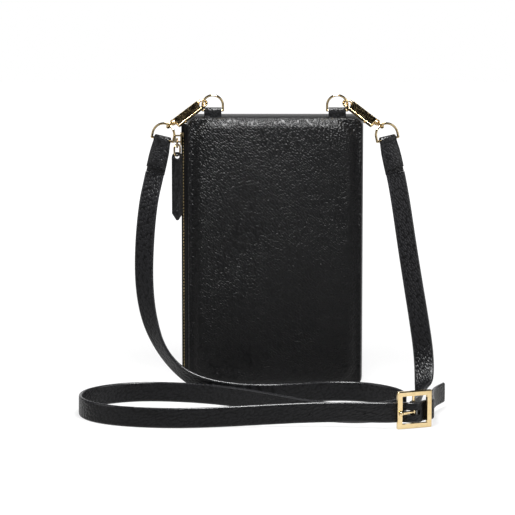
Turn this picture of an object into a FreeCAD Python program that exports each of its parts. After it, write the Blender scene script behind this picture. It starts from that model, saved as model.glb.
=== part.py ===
import FreeCAD, Part

import math
import os
import re

from FreeCAD import Matrix, Placement, Rotation, Vector

# Phone pouch with a side zip, two ring tabs and a clip-on shoulder strap.
# Origin: middle of the base. +X right, +Y to the back, +Z up. Millimetres.

SIZES = {
    # pouch walls
    "panel_width": 112.0,
    "panel_height": 176.0,
    "corner_radius": 6.5,
    "gusset_depth": 16.0,
    "gusset_wall": 1.4,
    "flange_width": 6.0,
    "leather": 1.3,
    "stitch_margin": 3.6,
    "front_crown": 2.6,
    "back_crown": 1.2,
    "crown_run": 16.0,
    "lining": 0.8,
    "sewing_gap": 0.2,
    # zip along the left side
    "tape_thickness": 0.7,
    "tape_cover": 10.0,
    "zip_bulge": 2.0,
    "tape_gap": 3.8,
    "tooth_pitch": 2.0,
    "tooth_thickness": 0.9,
    "tooth_width": 1.8,
    "tooth_mesh": 0.6,
    "chain_turn": 0.6,
    "slider_length": 8.0,
    "slider_width": 7.0,
    "slider_plate": 1.2,
    "slider_gap": 0.5,
    "slider_drop": 15.0,
    "bail_reach": 3.8,
    "bail_bar": 1.0,
    "bail_width": 1.6,
    "bail_length": 5.0,
    "pull_wire": 1.2,
    "pull_ring_width": 4.6,
    "pull_ring_length": 5.6,
    "tab_ring_length": 7.2,
    "tab_ring_width": 5.0,
    "pull_tab_width": 7.0,
    "pull_tab_length": 44.0,
    "pull_tab_thickness": 1.8,
    "pull_tab_hole": 4.0,
    "pull_tab_point": 4.5,
    # tabs and rings on the top
    "tab_inset": 16.5,
    "tab_forward": 4.0,
    "tab_width": 11.0,
    "tab_leather": 1.1,
    "tab_rise": 3.6,
    "tab_root": 5.0,
    "wire": 1.5,
    "bag_ring_gap": 11.4,
    "bag_ring_leg": 3.4,
    "bag_ring_lean": 6.0,
    "strap_ring_gap": 13.2,
    "strap_ring_leg": 2.8,
    "wire_play": 0.15,
    # snap clasp
    "hook_wire": 1.7,
    "hook_radius": 2.4,
    "clasp_start": 2.4,
    "clasp_length": 21.2,
    "clasp_width": 2.8,
    "clasp_thickness": 3.2,
    "clasp_edge": 0.5,
    "gate_width": 1.4,
    "gate_height": 1.5,
    "gate_mouth": 4.0,
    "gate_pivot": 11.0,
    "gate_tail": 8.0,
    "gate_knob": 1.4,
    "gate_pin": 0.8,
    "running_gap": 0.3,
    "running_fit": 0.08,
    "swivel_post": 1.5,
    "swivel_collar": 4.0,
    "swivel_eye": 1.9,
    "spring_leaf": 0.3,
    # strap
    "strap_width": 12.6,
    "strap_thickness": 1.9,
    "strap_fold": 22.0,
    "fold_width": 11.6,
    "fold_leather": 1.6,
    "hole_size": 2.2,
    "hole_pitch": 32.0,
    # buckle
    "buckle_width": 22.4,
    "buckle_height": 23.2,
    "buckle_bar": 3.0,
    "buckle_depth": 2.6,
    "buckle_edge": 0.6,
    "centre_bar": 1.8,
    "centre_recess": 1.4,
    "loop_leather": 1.2,
    "prong_wire": 2.2,
    "strap_sag": 1.6,
}

doc = FreeCAD.newDocument("phone_pouch")
sheet = doc.addObject("Spreadsheet::Sheet", "Sizes")
for row, (alias, value) in enumerate(SIZES.items(), start=1):
    sheet.set(f"A{row}", str(value))
    sheet.setAlias(f"A{row}", alias)
doc.recompute()


def size(alias):
    return float(sheet.get(alias))


def expression(text):
    """Point each size named in a formula at its cell of the sheet."""
    return re.sub(r"[a-z][a-z_]+", lambda m: f"Sizes.{m[0]}" if m[0] in SIZES else m[0], text)


def bind(obj, **formulas):
    for prop, text in formulas.items():
        obj.setExpression(prop.replace("__", "."), expression(text))
    return obj


def at(obj, x="0", y="0", z="0"):
    return bind(obj, Placement__Base__x=x, Placement__Base__y=y, Placement__Base__z=z)


def box(name, x, y, z, length, width, height):
    obj = bind(doc.addObject("Part::Box", name), Length=length, Width=width, Height=height)
    return at(obj, x, y, z)


AXES = {"x": Rotation(Vector(0, 1, 0), 90), "y": Rotation(Vector(1, 0, 0), -90), "z": Rotation()}


def rod(name, axis, x, y, z, radius, height):
    obj = bind(doc.addObject("Part::Cylinder", name), Radius=radius, Height=height)
    obj.Placement = Placement(Vector(), AXES[axis])
    return at(obj, x, y, z)


def ball(name, x, y, z, radius):
    return at(bind(doc.addObject("Part::Sphere", name), Radius=radius), x, y, z)


def half_ring(name, x, y, z, radius, wire, turn):
    """Half a torus in the XZ plane; turn spins it about Y, 0 having its arch on top."""
    obj = bind(doc.addObject("Part::Torus", name), Radius1=radius, Radius2=wire)
    obj.Angle3 = 180
    obj.Placement = Placement(Vector(), Rotation(Vector(0, 1, 0), turn) * Rotation(Vector(1, 0, 0), 90))
    return at(obj, x, y, z)


def fuse(name, *shapes):
    obj = doc.addObject("Part::MultiFuse", name)
    obj.Shapes = list(shapes)
    obj.Refine = True
    return obj


def cut(name, base, *tools):
    obj = doc.addObject("Part::Cut", name)
    obj.Base = base
    obj.Tool = tools[0] if len(tools) == 1 else fuse(name + "_tools", *tools)
    obj.Refine = True
    return obj


def rounded(name, base, alias):
    """Round every edge of a box-like piece."""
    doc.recompute()
    obj = doc.addObject("Part::Fillet", name)
    obj.Base = base
    radius = size(alias)
    obj.Edges = [(i + 1, radius, radius) for i in range(len(base.Shape.Edges))]
    return obj


def feature(name, shape):
    obj = doc.addObject("Part::Feature", name)
    obj.Shape = shape
    return obj


def mirrored(name, source):
    obj = doc.addObject("Part::Mirroring", name)
    obj.Source = source
    obj.Normal = Vector(1, 0, 0)
    return keep(name, obj)


pieces = {}


def keep(label, obj, placement=None):
    obj.Label = label
    if placement is not None:
        obj.Placement = placement
    pieces[label] = obj
    return obj


def frame_of(origin, x_axis, y_axis):
    """Placement whose X and Y axes point along two given directions."""
    x = Vector(x_axis).normalize()
    z = x.cross(y_axis).normalize()
    y = z.cross(x)
    return Placement(Matrix(x.x, y.x, z.x, origin.x, x.y, y.y, z.y, origin.y, x.z, y.z, z.z, origin.z))


# Crowned leather panels, the padding under them and the lining behind


def round_rect(half_width, bottom, top, radius, y):
    """Closed wire of a rounded rectangle standing in the plane y."""
    k = radius * (1 - math.sqrt(0.5))
    left, right = -half_width, half_width
    corners = [(right, bottom, -1, 1), (right, top, -1, -1), (left, top, 1, -1), (left, bottom, 1, 1)]
    edges = []
    ends = []
    for number, (x, z, sx, sz) in enumerate(corners):
        along_x = Vector(x + sx * radius, y, z)
        along_z = Vector(x, y, z + sz * radius)
        first, last = (along_x, along_z) if number % 2 == 0 else (along_z, along_x)
        ends.append((first, Vector(x + sx * k, y, z + sz * k), last))
    for number, (first, middle, last) in enumerate(ends):
        edges.append(Part.Arc(first, middle, last).toShape())
        edges.append(Part.LineSegment(last, ends[(number + 1) % 4][0]).toShape())
    return Part.Wire(edges)


CROWN_STEPS = [(0.0, 0.0), (0.12, 0.42), (0.34, 0.76), (0.64, 0.94), (1.0, 1.0)]


def panel_slab(inset, y_from, y_to):
    wire = round_rect(size("panel_width") / 2 - inset, inset, size("panel_height") - inset,
                      max(size("corner_radius") - inset, 1.0), y_from)
    return Part.Face(wire).extrude(Vector(0, y_to - y_from, 0))


def crown_solid(side, seat, crown, inset):
    """Pillow that swells out of the plane at the distance seat, on the side given."""
    wires = []
    for run, rise in CROWN_STEPS:
        margin = inset + run * size("crown_run")
        wires.append(round_rect(size("panel_width") / 2 - margin, margin, size("panel_height") - margin,
                                max(size("corner_radius") - 0.2 * margin, 1.0), side * (seat + rise * crown)))
    return Part.makeLoft(wires, True, True)


def make_panel(name, side, crown):
    seat = size("gusset_depth") / 2
    face = seat + size("leather")
    margin = size("stitch_margin")
    hollow = margin + size("leather")
    slab = panel_slab(0, side * seat, side * face)
    pillow = crown_solid(side, face, crown, margin)
    inside = crown_solid(side, seat, crown, hollow)
    keep(f"{name}_panel", feature(f"{name}_panel", slab.fuse(pillow).removeSplitter().cut(inside)))
    pad_gap = size("sewing_gap")
    pad = crown_solid(side, seat, crown - pad_gap, hollow + pad_gap)
    keep(f"{name}_padding", feature(f"{name}_padding", pad))


make_panel("front", -1, size("front_crown"))
make_panel("back", 1, size("back_crown"))

LINING_LEFT = "-panel_width/2 + tape_cover + 2*sewing_gap"
LINING_RIGHT = "panel_width/2 - flange_width - 2*sewing_gap"
LINING_EDGE = "flange_width + 2*sewing_gap"
LININGS = [("front_lining", "-gusset_depth/2"), ("back_lining", "gusset_depth/2 - lining")]
for lining_name, lining_y in LININGS:
    keep(lining_name, box(lining_name, LINING_LEFT, lining_y, LINING_EDGE,
                          f"{LINING_RIGHT} - ({LINING_LEFT})", "lining", f"panel_height - 2*({LINING_EDGE})"))

# Gusset: one strip round the bottom, right side and top, with turned-in sewing flanges


def make_gusset():
    half_depth = size("gusset_depth") / 2
    wall, flange = size("gusset_wall"), size("flange_width")
    outer = panel_slab(0, -half_depth, half_depth)
    channel = panel_slab(wall, -half_depth + wall, half_depth - wall)
    window = panel_slab(flange, -half_depth, half_depth)
    left = -size("panel_width") / 2
    zip_side = Part.makeBox(flange + 3, 2 * half_depth, size("panel_height") - 2 * flange,
                            Vector(left - 1, -half_depth, flange))
    shape = outer.cut(channel).cut(window).cut(zip_side)
    slit = size("tab_leather") * 2
    for side in (-1, 1):
        x = side * (size("panel_width") / 2 - size("tab_inset")) - size("tab_width") / 2
        corner = Vector(x, -size("tab_forward") - slit / 2, size("panel_height") - wall)
        shape = shape.cut(Part.makeBox(size("tab_width"), slit, 2 * wall, corner))
    keep("gusset", feature("gusset", shape))


make_gusset()

# Zip tapes, bent from under the panel edges out to the chain

SIDE = -size("panel_width") / 2
CHAIN_X = SIDE - size("zip_bulge")
TAPE_BOTTOM = size("flange_width") + size("sewing_gap")
TAPE_TOP = size("panel_height") - size("flange_width") - size("sewing_gap")


def make_tape(name, side):
    seat = side * size("gusset_depth") / 2
    edge = side * size("tape_gap") / 2
    thick = size("tape_thickness")
    bend = Vector(SIDE + thick / 2, seat, TAPE_BOTTOM)
    inner_bend = Vector(SIDE + 1.6 * thick, seat - side * thick, TAPE_BOTTOM)
    outline = [Vector(SIDE + size("tape_cover"), seat, TAPE_BOTTOM), bend,
               Vector(CHAIN_X, edge, TAPE_BOTTOM), Vector(CHAIN_X + thick, edge, TAPE_BOTTOM),
               inner_bend, Vector(SIDE + size("tape_cover"), seat - side * thick, TAPE_BOTTOM)]
    face = Part.Face(Part.makePolygon(outline + outline[:1]))
    keep(name, feature(name, face.extrude(Vector(0, 0, TAPE_TOP - TAPE_BOTTOM))))


make_tape("zip_tape_front", -1)
make_tape("zip_tape_back", 1)

SLIDER_Z = size("panel_height") - size("slider_drop")
SLIDER_TOP = SLIDER_Z + size("slider_length") / 2
TEETH_LEFT = CHAIN_X + size("tape_thickness") / 2 - size("tooth_width") / 2
DIAMOND = 2.0
TEETH_TOP = SLIDER_TOP - DIAMOND - size("sewing_gap")


def make_teeth(name, side, lift, set_in):
    """A row of metal teeth, each a separate solid clamped on the tape's edge."""
    pitch, thick = size("tooth_pitch"), size("tooth_thickness")
    edge, reach = size("tape_gap") / 2, size("tape_gap") / 2 + size("tooth_mesh")
    waist, head = size("tooth_width") * 0.25, 0.45
    outline = [(0, 0), (size("tooth_width"), 0), (size("tooth_width") - waist, reach * head),
               (size("tooth_width"), reach), (0, reach), (waist, reach * head)]
    count = int((TEETH_TOP - TAPE_BOTTOM - 2 * pitch - lift) // pitch)
    solids = []
    for number in range(count):
        z = TEETH_TOP - thick - lift - number * pitch
        points = [Vector(TEETH_LEFT + set_in + x, side * (edge - y), z) for x, y in outline]
        solids.append(Part.Face(Part.makePolygon(points + points[:1])).extrude(Vector(0, 0, thick)))
    keep(name, feature(name, Part.makeCompound(solids)))
    return TEETH_TOP - lift - count * pitch


# The chain is turned a little to the front, so its back row is set in
make_teeth("zip_teeth_front", -1, 0, 0)
TEETH_BOTTOM = make_teeth("zip_teeth_back", 1, size("tooth_pitch") / 2, size("chain_turn"))

# Stop at the foot of the chain, clamped between the two tapes' edges
keep("zip_bottom_stop", feature("zip_bottom_stop", Part.makeBox(
    size("tooth_width"), size("tape_gap"), size("tooth_pitch"),
    Vector(TEETH_LEFT, -size("tape_gap") / 2, TEETH_BOTTOM - size("tooth_pitch")))))

# Slider: outer and inner plates joined by the diamond, with a bail for the pull
OUTER = f"{TEETH_LEFT} - slider_gap - slider_plate"
INNER = f"{TEETH_LEFT} + tooth_width + chain_turn + slider_gap"
LOW = f"{SLIDER_Z} - slider_length/2"
outer_plate = box("outer_plate", OUTER, "-slider_width/2", LOW,
                  "slider_plate", "slider_width", "slider_length")
inner_plate = box("inner_plate", INNER, "-slider_width/2", LOW,
                  "slider_plate", "slider_width", "slider_length")
diamond = box("diamond", OUTER, "-tape_gap/4", f"{SLIDER_TOP} - {DIAMOND}",
              f"{INNER} - ({OUTER}) + slider_plate", "tape_gap/2", f"{DIAMOND}")
BAIL = f"{OUTER} - bail_reach"
bail_block = box("bail_block", BAIL, "-bail_width/2", f"{SLIDER_Z} - bail_length/2",
                 "bail_reach", "bail_width", "bail_length")
bail_hole = box("bail_hole", f"{BAIL} + bail_bar", "-bail_width", f"{SLIDER_Z} - bail_length/2 + bail_bar",
                "bail_reach - bail_bar", "2*bail_width", "bail_length - 2*bail_bar")
outer_round = rounded("outer_plate_round", outer_plate, "clasp_edge")
inner_round = rounded("inner_plate_round", inner_plate, "clasp_edge")
bail = cut("bail", bail_block, bail_hole)
keep("zip_slider", fuse("zip_slider", outer_round, inner_round, diamond, bail))

# Pull: a ring in the bail, a second ring through it and the leather tab's hole
PULL_X = TEETH_LEFT - size("slider_gap") - size("slider_plate") - size("bail_reach") + size("bail_bar") \
    + size("pull_wire") / 2 + size("wire_play")
PULL_TOP = SLIDER_Z


def link(name, width, length):
    """Oval wire link in the XZ plane, hanging from the middle of its top wire at the origin."""
    radius = f"({width})/2"
    run = f"{length} - 2*{radius}"
    wire = "pull_wire/2"
    return fuse(name, half_ring(name + "_top", "0", "0", f"-{radius}", radius, wire, 0),
                half_ring(name + "_bottom", "0", "0", f"-{radius} - ({run})", radius, wire, 180),
                rod(name + "_left", "z", f"-{radius}", "0", f"-{radius} - ({run})", wire, run),
                rod(name + "_right", "z", radius, "0", f"-{radius} - ({run})", wire, run))


keep("zip_pull_ring", link("zip_pull_ring", "pull_ring_width", "pull_ring_length"),
     Placement(Vector(PULL_X, 0, PULL_TOP), Rotation(Vector(0, 0, 1), 90)))
TAB_RING_TOP = PULL_TOP - size("pull_ring_length") + size("pull_wire") + 2 * size("running_gap")
keep("zip_tab_ring", link("zip_tab_ring", "tab_ring_width", "tab_ring_length"),
     Placement(Vector(PULL_X, 0, TAB_RING_TOP), Rotation(Vector(0, 0, 1), 45)))

HOLE_Z = TAB_RING_TOP - size("tab_ring_length") - size("pull_tab_hole") / 2 + size("pull_wire") / 2 \
    + size("running_gap")


def make_pull_tab():
    half, thick = size("pull_tab_width") / 2, size("pull_tab_thickness")
    bottom = HOLE_Z + half - size("pull_tab_length")
    shoulder = bottom + size("pull_tab_point")
    front = Vector(PULL_X, -thick / 2, 0)
    points = [Vector(half, 0, HOLE_Z), Vector(half, 0, shoulder), Vector(half * 0.15, 0, bottom),
              Vector(-half * 0.15, 0, bottom), Vector(-half, 0, shoulder), Vector(-half, 0, HOLE_Z)]
    points = [front + p for p in points]
    edges = [Part.LineSegment(a, b).toShape() for a, b in zip(points, points[1:])]
    crest = front + Vector(0, 0, HOLE_Z + half)
    edges.append(Part.Arc(points[-1], crest, points[0]).toShape())
    blank = Part.Face(Part.Wire(edges)).extrude(Vector(0, thick, 0))
    hole = Part.makeCylinder(size("pull_tab_hole") / 2, 2 * thick, front + Vector(0, -thick / 2, HOLE_Z),
                             Vector(0, 1, 0))
    keep("zip_pull_tab", feature("zip_pull_tab", blank.cut(hole)))


make_pull_tab()

# Ring tabs on the top: a leather strip folded over the bar of each ring
TAB_X = -size("panel_width") / 2 + size("tab_inset")
TAB_Y = -size("tab_forward")
BAR_Z = size("panel_height") + size("tab_rise")


def folded_strip(name, width, leather, bar, play, drop):
    """Strip folded over a bar that lies along X at the origin; its two layers hang down by drop."""
    inner = f"{bar}/2 + {play}"
    outer = f"{inner} + {leather}"
    start = f"-({width})/2"
    eye = rod(name + "_eye", "x", start, "0", "0", outer, width)
    stem = box(name + "_stem", start, f"-{leather}", f"-({drop})", width, f"2*{leather}", drop)
    bore = rod(name + "_bore", "x", f"{start} - 1", "0", "0", inner, f"{width} + 2")
    return cut(name, fuse(name + "_solid", eye, stem), bore)


left_tab = folded_strip("left_ring_tab", "tab_width", "tab_leather", "wire", "wire_play",
                        "tab_rise + tab_root")
keep("left_ring_tab", left_tab, Placement(Vector(TAB_X, TAB_Y, BAR_Z), Rotation()))
mirrored("right_ring_tab", left_tab)


def d_ring(name, gap, leg):
    """D ring in the XZ plane with its straight bar along X at the origin and its arch on top."""
    radius, wire = f"({gap} + wire)/2", "wire/2"
    return fuse(name, half_ring(name + "_arch", "0", "0", leg, radius, wire, 0),
                rod(name + "_leg_left", "z", f"-{radius}", "0", "0", wire, leg),
                rod(name + "_leg_right", "z", radius, "0", "0", wire, leg),
                rod(name + "_bar", "x", f"-{radius}", "0", "0", wire, f"2*{radius}"),
                ball(name + "_corner_left", f"-{radius}", "0", "0", wire),
                ball(name + "_corner_right", radius, "0", "0", wire))


LEAN = math.radians(size("bag_ring_lean"))
RING_UP = Vector(0, -math.sin(LEAN), math.cos(LEAN))
left_ring = d_ring("left_bag_ring", "bag_ring_gap", "bag_ring_leg")
keep("left_bag_ring", left_ring,
     Placement(Vector(TAB_X, TAB_Y, BAR_Z), Rotation(Vector(1, 0, 0), size("bag_ring_lean"))))
mirrored("right_bag_ring", left_ring)

# Snap clasp, hooked on the ring's arch and hanging out past the pouch's corner.
# Its own frame: X from the ring to the swivel, Y towards the viewer, Z across the bar.
ARCH = Vector(TAB_X, TAB_Y, BAR_Z) + RING_UP * size("bag_ring_leg")
RING_RADIUS = (size("bag_ring_gap") + size("wire")) / 2
HOOK_TURN = math.radians(167)
HOOKED = ARCH + Vector(RING_RADIUS * math.cos(HOOK_TURN), 0, 0)
HOOKED = HOOKED + RING_UP * (RING_RADIUS * math.sin(HOOK_TURN))
CLASP_WAY = Vector(-0.71, -0.50, -0.49)
CLASP_FACE = Vector(0, -0.75, 0.66)
HOOK_DROP = size("hook_radius") - (size("clasp_width") - size("hook_wire")) / 2
CLASP = frame_of(HOOKED, CLASP_WAY, CLASP_FACE)
CLASP = CLASP.multiply(Placement(Vector(0, 0, HOOK_DROP), Rotation()))

HOOK_X = "hook_radius - hook_wire/2 - wire/2 - 2*running_gap"
NECK_Z = "(clasp_width - hook_wire)/2"
TIP_Z = "((clasp_width - hook_wire)/2 - 2*hook_radius)"
GATE_X = f"{HOOK_X} + running_gap + 1.5"

# The bar is a spine with two side walls below it, and the gate lies in the channel between the walls
BAR_FOOT = f"({TIP_Z} - gate_height/2)"
CHANNEL = "(gate_width + 2*running_gap)"
clasp_bar = box("clasp_bar", "clasp_start", "-clasp_thickness/2", BAR_FOOT,
                "clasp_length", "clasp_thickness", f"clasp_width/2 - {BAR_FOOT}")
clasp_mouth = box("clasp_mouth", "clasp_start - 1", "-clasp_thickness", f"{BAR_FOOT} - 1",
                  "gate_mouth - clasp_start + 1", "2*clasp_thickness", f"1 - clasp_width/2 - {BAR_FOOT}")
gate_channel = box("gate_channel", "clasp_start", f"-{CHANNEL}/2", f"{BAR_FOOT} - 1",
                   "gate_pivot + gate_tail + running_gap - clasp_start", CHANNEL,
                   f"1 - clasp_width/2 - {BAR_FOOT}")
hook = half_ring("hook", HOOK_X, "0", f"{NECK_Z} - hook_radius", "hook_radius", "hook_wire/2", 270)
neck = rod("neck", "x", HOOK_X, "0", NECK_Z, "hook_wire/2", f"clasp_start + clasp_edge - ({HOOK_X})")
tip = rod("tip", "x", HOOK_X, "0", TIP_Z, "hook_wire/2", "1.5")
pin_hole = rod("pin_hole", "y", "gate_pivot", "-clasp_thickness", TIP_Z, "gate_pin/2", "2*clasp_thickness")
CLASP_END = "clasp_start + clasp_length"
post_hole = rod("post_hole", "x", f"{CLASP_END} - 3.5", "0", "0", "swivel_post/2 + running_fit", "4")
clasp_shell = cut("clasp_shell", rounded("clasp_bar_round", clasp_bar, "clasp_edge"), clasp_mouth, gate_channel)
clasp_solid = fuse("clasp_solid", clasp_shell, hook, neck, tip)
left_clasp = keep("left_clasp_body", cut("left_clasp_body", clasp_solid, pin_hole, post_hole), CLASP)

pin_rod = rod("pin_rod", "y", "gate_pivot", "-clasp_thickness/2 - 0.2", TIP_Z, "gate_pin/2",
              "clasp_thickness + 0.4")
pin_heads = []
HEAD_SIDES = [("pin_head_front", "-clasp_thickness/2 - 0.3"), ("pin_head_back", "clasp_thickness/2")]
for head_name, head_y in HEAD_SIDES:
    pin_heads.append(rod(head_name, "y", "gate_pivot", head_y, TIP_Z, "gate_pin*0.75", "0.3"))
left_pin = keep("left_gate_pin", fuse("left_gate_pin", pin_rod, *pin_heads), CLASP)

gate_bar = box("gate_bar", GATE_X, "-gate_width/2", f"{TIP_Z} - gate_height/2",
               f"gate_pivot + gate_tail - ({GATE_X})", "gate_width", "gate_height")
gate_knob = rod("gate_knob", "z", "gate_pivot + gate_tail - gate_knob/2", "0",
                f"{TIP_Z} - gate_height/2 - gate_knob*0.6", "gate_knob/2", "gate_knob*0.6 + gate_height")
gate_hole = rod("gate_hole", "y", "gate_pivot", "-gate_width", TIP_Z, "gate_pin/2 + running_fit",
                "2*gate_width")
gate_solid = fuse("gate_solid", gate_bar, gate_knob)
left_gate = keep("left_clasp_gate", cut("left_clasp_gate", gate_solid, gate_hole), CLASP)

# Leaf spring between the bar and the gate's tail
LEAF_TOP = "-clasp_width/2"
LEAF_FOOT = f"({TIP_Z} + gate_height/2)"
leaf_foot = box("leaf_foot", "gate_pivot + gate_pin*2", "-gate_width/2", f"{LEAF_TOP} - spring_leaf",
                "gate_tail/3", "gate_width", "spring_leaf")
leaf_end = box("leaf_end", "gate_pivot + gate_pin*2", "-gate_width/2", LEAF_FOOT,
               "spring_leaf", "gate_width", f"{LEAF_TOP} - {LEAF_FOOT}")
left_leaf = keep("left_gate_spring", fuse("left_gate_spring", leaf_foot, leaf_end), CLASP)

# Swivel: a post in the bar's end, a collar and an eye that holds the strap's ring
collar = rod("collar", "x", f"{CLASP_END} + running_gap", "0", "0", "swivel_collar/2", "1.2")
post = rod("post", "x", f"{CLASP_END} - 3", "0", "0", "swivel_post/2", "3.5")
EYE_X = f"{CLASP_END} + running_gap + 0.9 + swivel_eye + wire/2"
eye = bind(doc.addObject("Part::Torus", "eye"), Radius1="swivel_eye", Radius2="wire/2")
at(eye, EYE_X, "0", "0")
left_swivel = keep("left_clasp_swivel", fuse("left_clasp_swivel", collar, post, eye), CLASP)

# Ring on the strap's end, caught in the eye, and the strap folded over its bar
EYE_AT = size("clasp_start") + size("clasp_length") + size("running_gap") + 0.9 + size("swivel_eye") \
    + size("wire") / 2
CAUGHT = CLASP.multVec(Vector(EYE_AT + size("swivel_eye") - size("wire") - size("running_gap"), 0, 0))
STRAP_DOWN = Vector(-0.22, -0.10, -0.97).normalize()
STRAP_ACROSS = Vector(0.93, -0.32, 0)
CAUGHT_TURN = math.radians(70)
STRAP_RING_RADIUS = (size("strap_ring_gap") + size("wire")) / 2
strap_axes = frame_of(Vector(), STRAP_ACROSS - STRAP_DOWN * STRAP_ACROSS.dot(STRAP_DOWN),
                      STRAP_ACROSS.cross(STRAP_DOWN))
caught_offset = strap_axes.multVec(Vector(math.cos(CAUGHT_TURN) * STRAP_RING_RADIUS, 0,
                                          math.sin(CAUGHT_TURN) * STRAP_RING_RADIUS + size("strap_ring_leg")))
STRAP_END = Placement(CAUGHT - caught_offset, strap_axes.Rotation)
left_strap_ring = d_ring("left_strap_ring", "strap_ring_gap", "strap_ring_leg")
keep("left_strap_ring", left_strap_ring, STRAP_END)
left_fold = folded_strip("left_strap_end", "fold_width", "fold_leather", "wire", "wire_play", "strap_fold")
keep("left_strap_end", left_fold, STRAP_END)

for source in [left_clasp, left_pin, left_gate, left_leaf, left_swivel, left_strap_ring, left_fold]:
    mirrored(source.Label.replace("left", "right"), source)

# Strap: a flat band along straight runs joined by tangent arcs.
# Each route point gives the middle of the band and the way its width points.
FOLD_FOOT = STRAP_END.multVec(Vector(0, 0, -size("strap_fold")))
HALF = size("strap_width") / 2
ON_EDGE = (0, 0, 1)

LONG_ROUTE = [
    ((-80.2, -24.0, 123.0), (0.94, -0.34, 0.05)),
    ((-82.6, -27.0, 98.0), (0.95, -0.30, 0.03)),
    ((-83.0, -30.0, 72.0), (0.90, -0.40, 0.06)),
    ((-79.8, -33.0, 50.0), (0.76, -0.60, 0.22)),
    ((-72.2, -36.5, 31.0), (0.42, -0.85, 0.32)),
    ((-59.5, -41.0, 17.0), (0.28, -0.80, 0.54)),
    ((-43.0, -46.0, 9.2), (0.12, -0.45, 0.88)),
    ((-24.0, -51.0, HALF), ON_EDGE),
    ((-5.0, -53.5, HALF), ON_EDGE),
    ((15.0, -50.0, HALF), ON_EDGE),
    ((36.0, -43.5, HALF), ON_EDGE),
    ((56.0, -46.0, HALF), ON_EDGE),
    ((71.5, -57.0, HALF), ON_EDGE),
    ((80.5, -72.0, HALF), ON_EDGE),
    ((80.0, -89.0, HALF), ON_EDGE),
    ((70.0, -102.0, HALF), ON_EDGE),
    ((54.0, -108.5, HALF), ON_EDGE),
    ((37.0, -107.0, HALF), ON_EDGE),
    ((20.0, -98.5, HALF), ON_EDGE),
    ((2.0, -83.0, HALF), ON_EDGE),
    ((-17.0, -67.0, HALF), ON_EDGE),
    ((-37.0, -55.0, HALF), ON_EDGE),
    ((-58.0, -48.0, HALF), ON_EDGE),
    ((-81.0, -45.0, HALF), ON_EDGE),
    ((-102.5, -51.0, HALF), ON_EDGE),
    ((-118.0, -65.5, HALF), ON_EDGE),
    ((-122.0, -84.0, HALF), ON_EDGE),
    ((-115.5, -102.0, HALF), ON_EDGE),
    ((-100.0, -114.5, HALF), ON_EDGE),
    ((-78.0, -121.0, HALF), ON_EDGE),
    ((-54.0, -123.0, 6.5), ON_EDGE),
    ((-29.0, -121.0, 7.0), ON_EDGE),
    ((-3.0, -118.5, 7.9), ON_EDGE),
    ((23.0, -118.0, 9.0), ON_EDGE),
    ((46.0, -120.5, 9.8), ON_EDGE),
    ((59.0, -123.0, 10.0), ON_EDGE),
]
SHORT_ROUTE = [
    ((79.5, -24.0, 123.0), (0.94, 0.30, 0.05)),
    ((83.0, -27.5, 99.0), (0.96, 0.26, 0)),
    ((87.0, -31.0, 74.0), (0.97, 0.20, 0)),
    ((91.0, -34.5, 50.0), (0.97, 0.10, 0)),
    ((94.0, -39.0, 29.0), (0.97, 0, 0.15)),
    ((94.0, -47.5, 13.5), (0.80, 0.10, 0.55)),
    ((91.5, -61.0, 7.2), (0.45, 0.10, 0.85)),
    ((89.5, -76.0, 6.6), (0.15, 0, 0.97)),
    ((89.0, -90.0, 8.0), ON_EDGE),
]

BUCKLE_AT = Vector(84.0, -121.0, size("buckle_height") / 2)
BUCKLE_TURN = 20.0
BUCKLE = Placement(BUCKLE_AT, Rotation(Vector(0, 0, 1), BUCKLE_TURN))
LOOP_RADIUS = size("centre_bar") / 2 + size("wire_play") + size("loop_leather")
TONGUE_BACK = size("buckle_depth") / 2 + size("running_gap") + size("strap_thickness") / 2
TONGUE_FRONT = size("centre_recess") - LOOP_RADIUS - size("running_gap") - size("strap_thickness") / 2
BAR_MIDDLE = (size("buckle_width") - size("buckle_bar")) / 2


def in_buckle(x, y):
    return BUCKLE.multVec(Vector(x, y, -size("strap_sag")))


TAIL = 9.0
TONGUE_TIP = [((95.9, -107.0, 10.0), ON_EDGE), ((96.2, -96.0, 9.9), ON_EDGE),
              ((97.3, -84.0, 9.8), ON_EDGE), ((100.4, -73.0, 9.7), ON_EDGE), ((105.0, -63.5, 9.6), ON_EDGE)]


def rounded_route(points):
    """Places and tangents along straight runs joined by tangent arcs, with the arcs' radii."""
    samples = [(0.0, points[0], (points[1] - points[0]).normalize())]
    radii = []
    for number in range(1, len(points) - 1):
        before, corner, after = points[number - 1:number + 2]
        way_in = (corner - before).normalize()
        way_out = (after - corner).normalize()
        turn = max(way_in.getAngle(way_out), 0.002)
        reach = 0.45 * min((corner - before).Length, (after - corner).Length)
        radius = reach / math.tan(turn / 2)
        radii.append(radius)
        start = corner - way_in * reach
        normal = (way_out - way_in * way_out.dot(way_in)).normalize()
        steps = max(2, math.ceil(math.degrees(turn) / 15))
        for step in range(steps + 1):
            angle = turn * step / steps
            place = start + way_in * (radius * math.sin(angle)) + normal * (radius * (1 - math.cos(angle)))
            tangent = way_in * math.cos(angle) + normal * math.sin(angle)
            samples.append((number - 0.4 + 0.8 * step / steps, place, tangent))
    samples.append((len(points) - 1.0, points[-1], (points[-1] - points[-2]).normalize()))
    return samples, radii


def section_at(place, tangent, across):
    """Rectangle of the band, square to its path."""
    wide = (across - tangent * across.dot(tangent)).normalize() * HALF
    thick = tangent.cross(wide).normalize() * (size("strap_thickness") / 2)
    corners = [place + wide + thick, place - wide + thick, place - wide - thick, place + wide - thick]
    return Part.makePolygon(corners + corners[:1])


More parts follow.
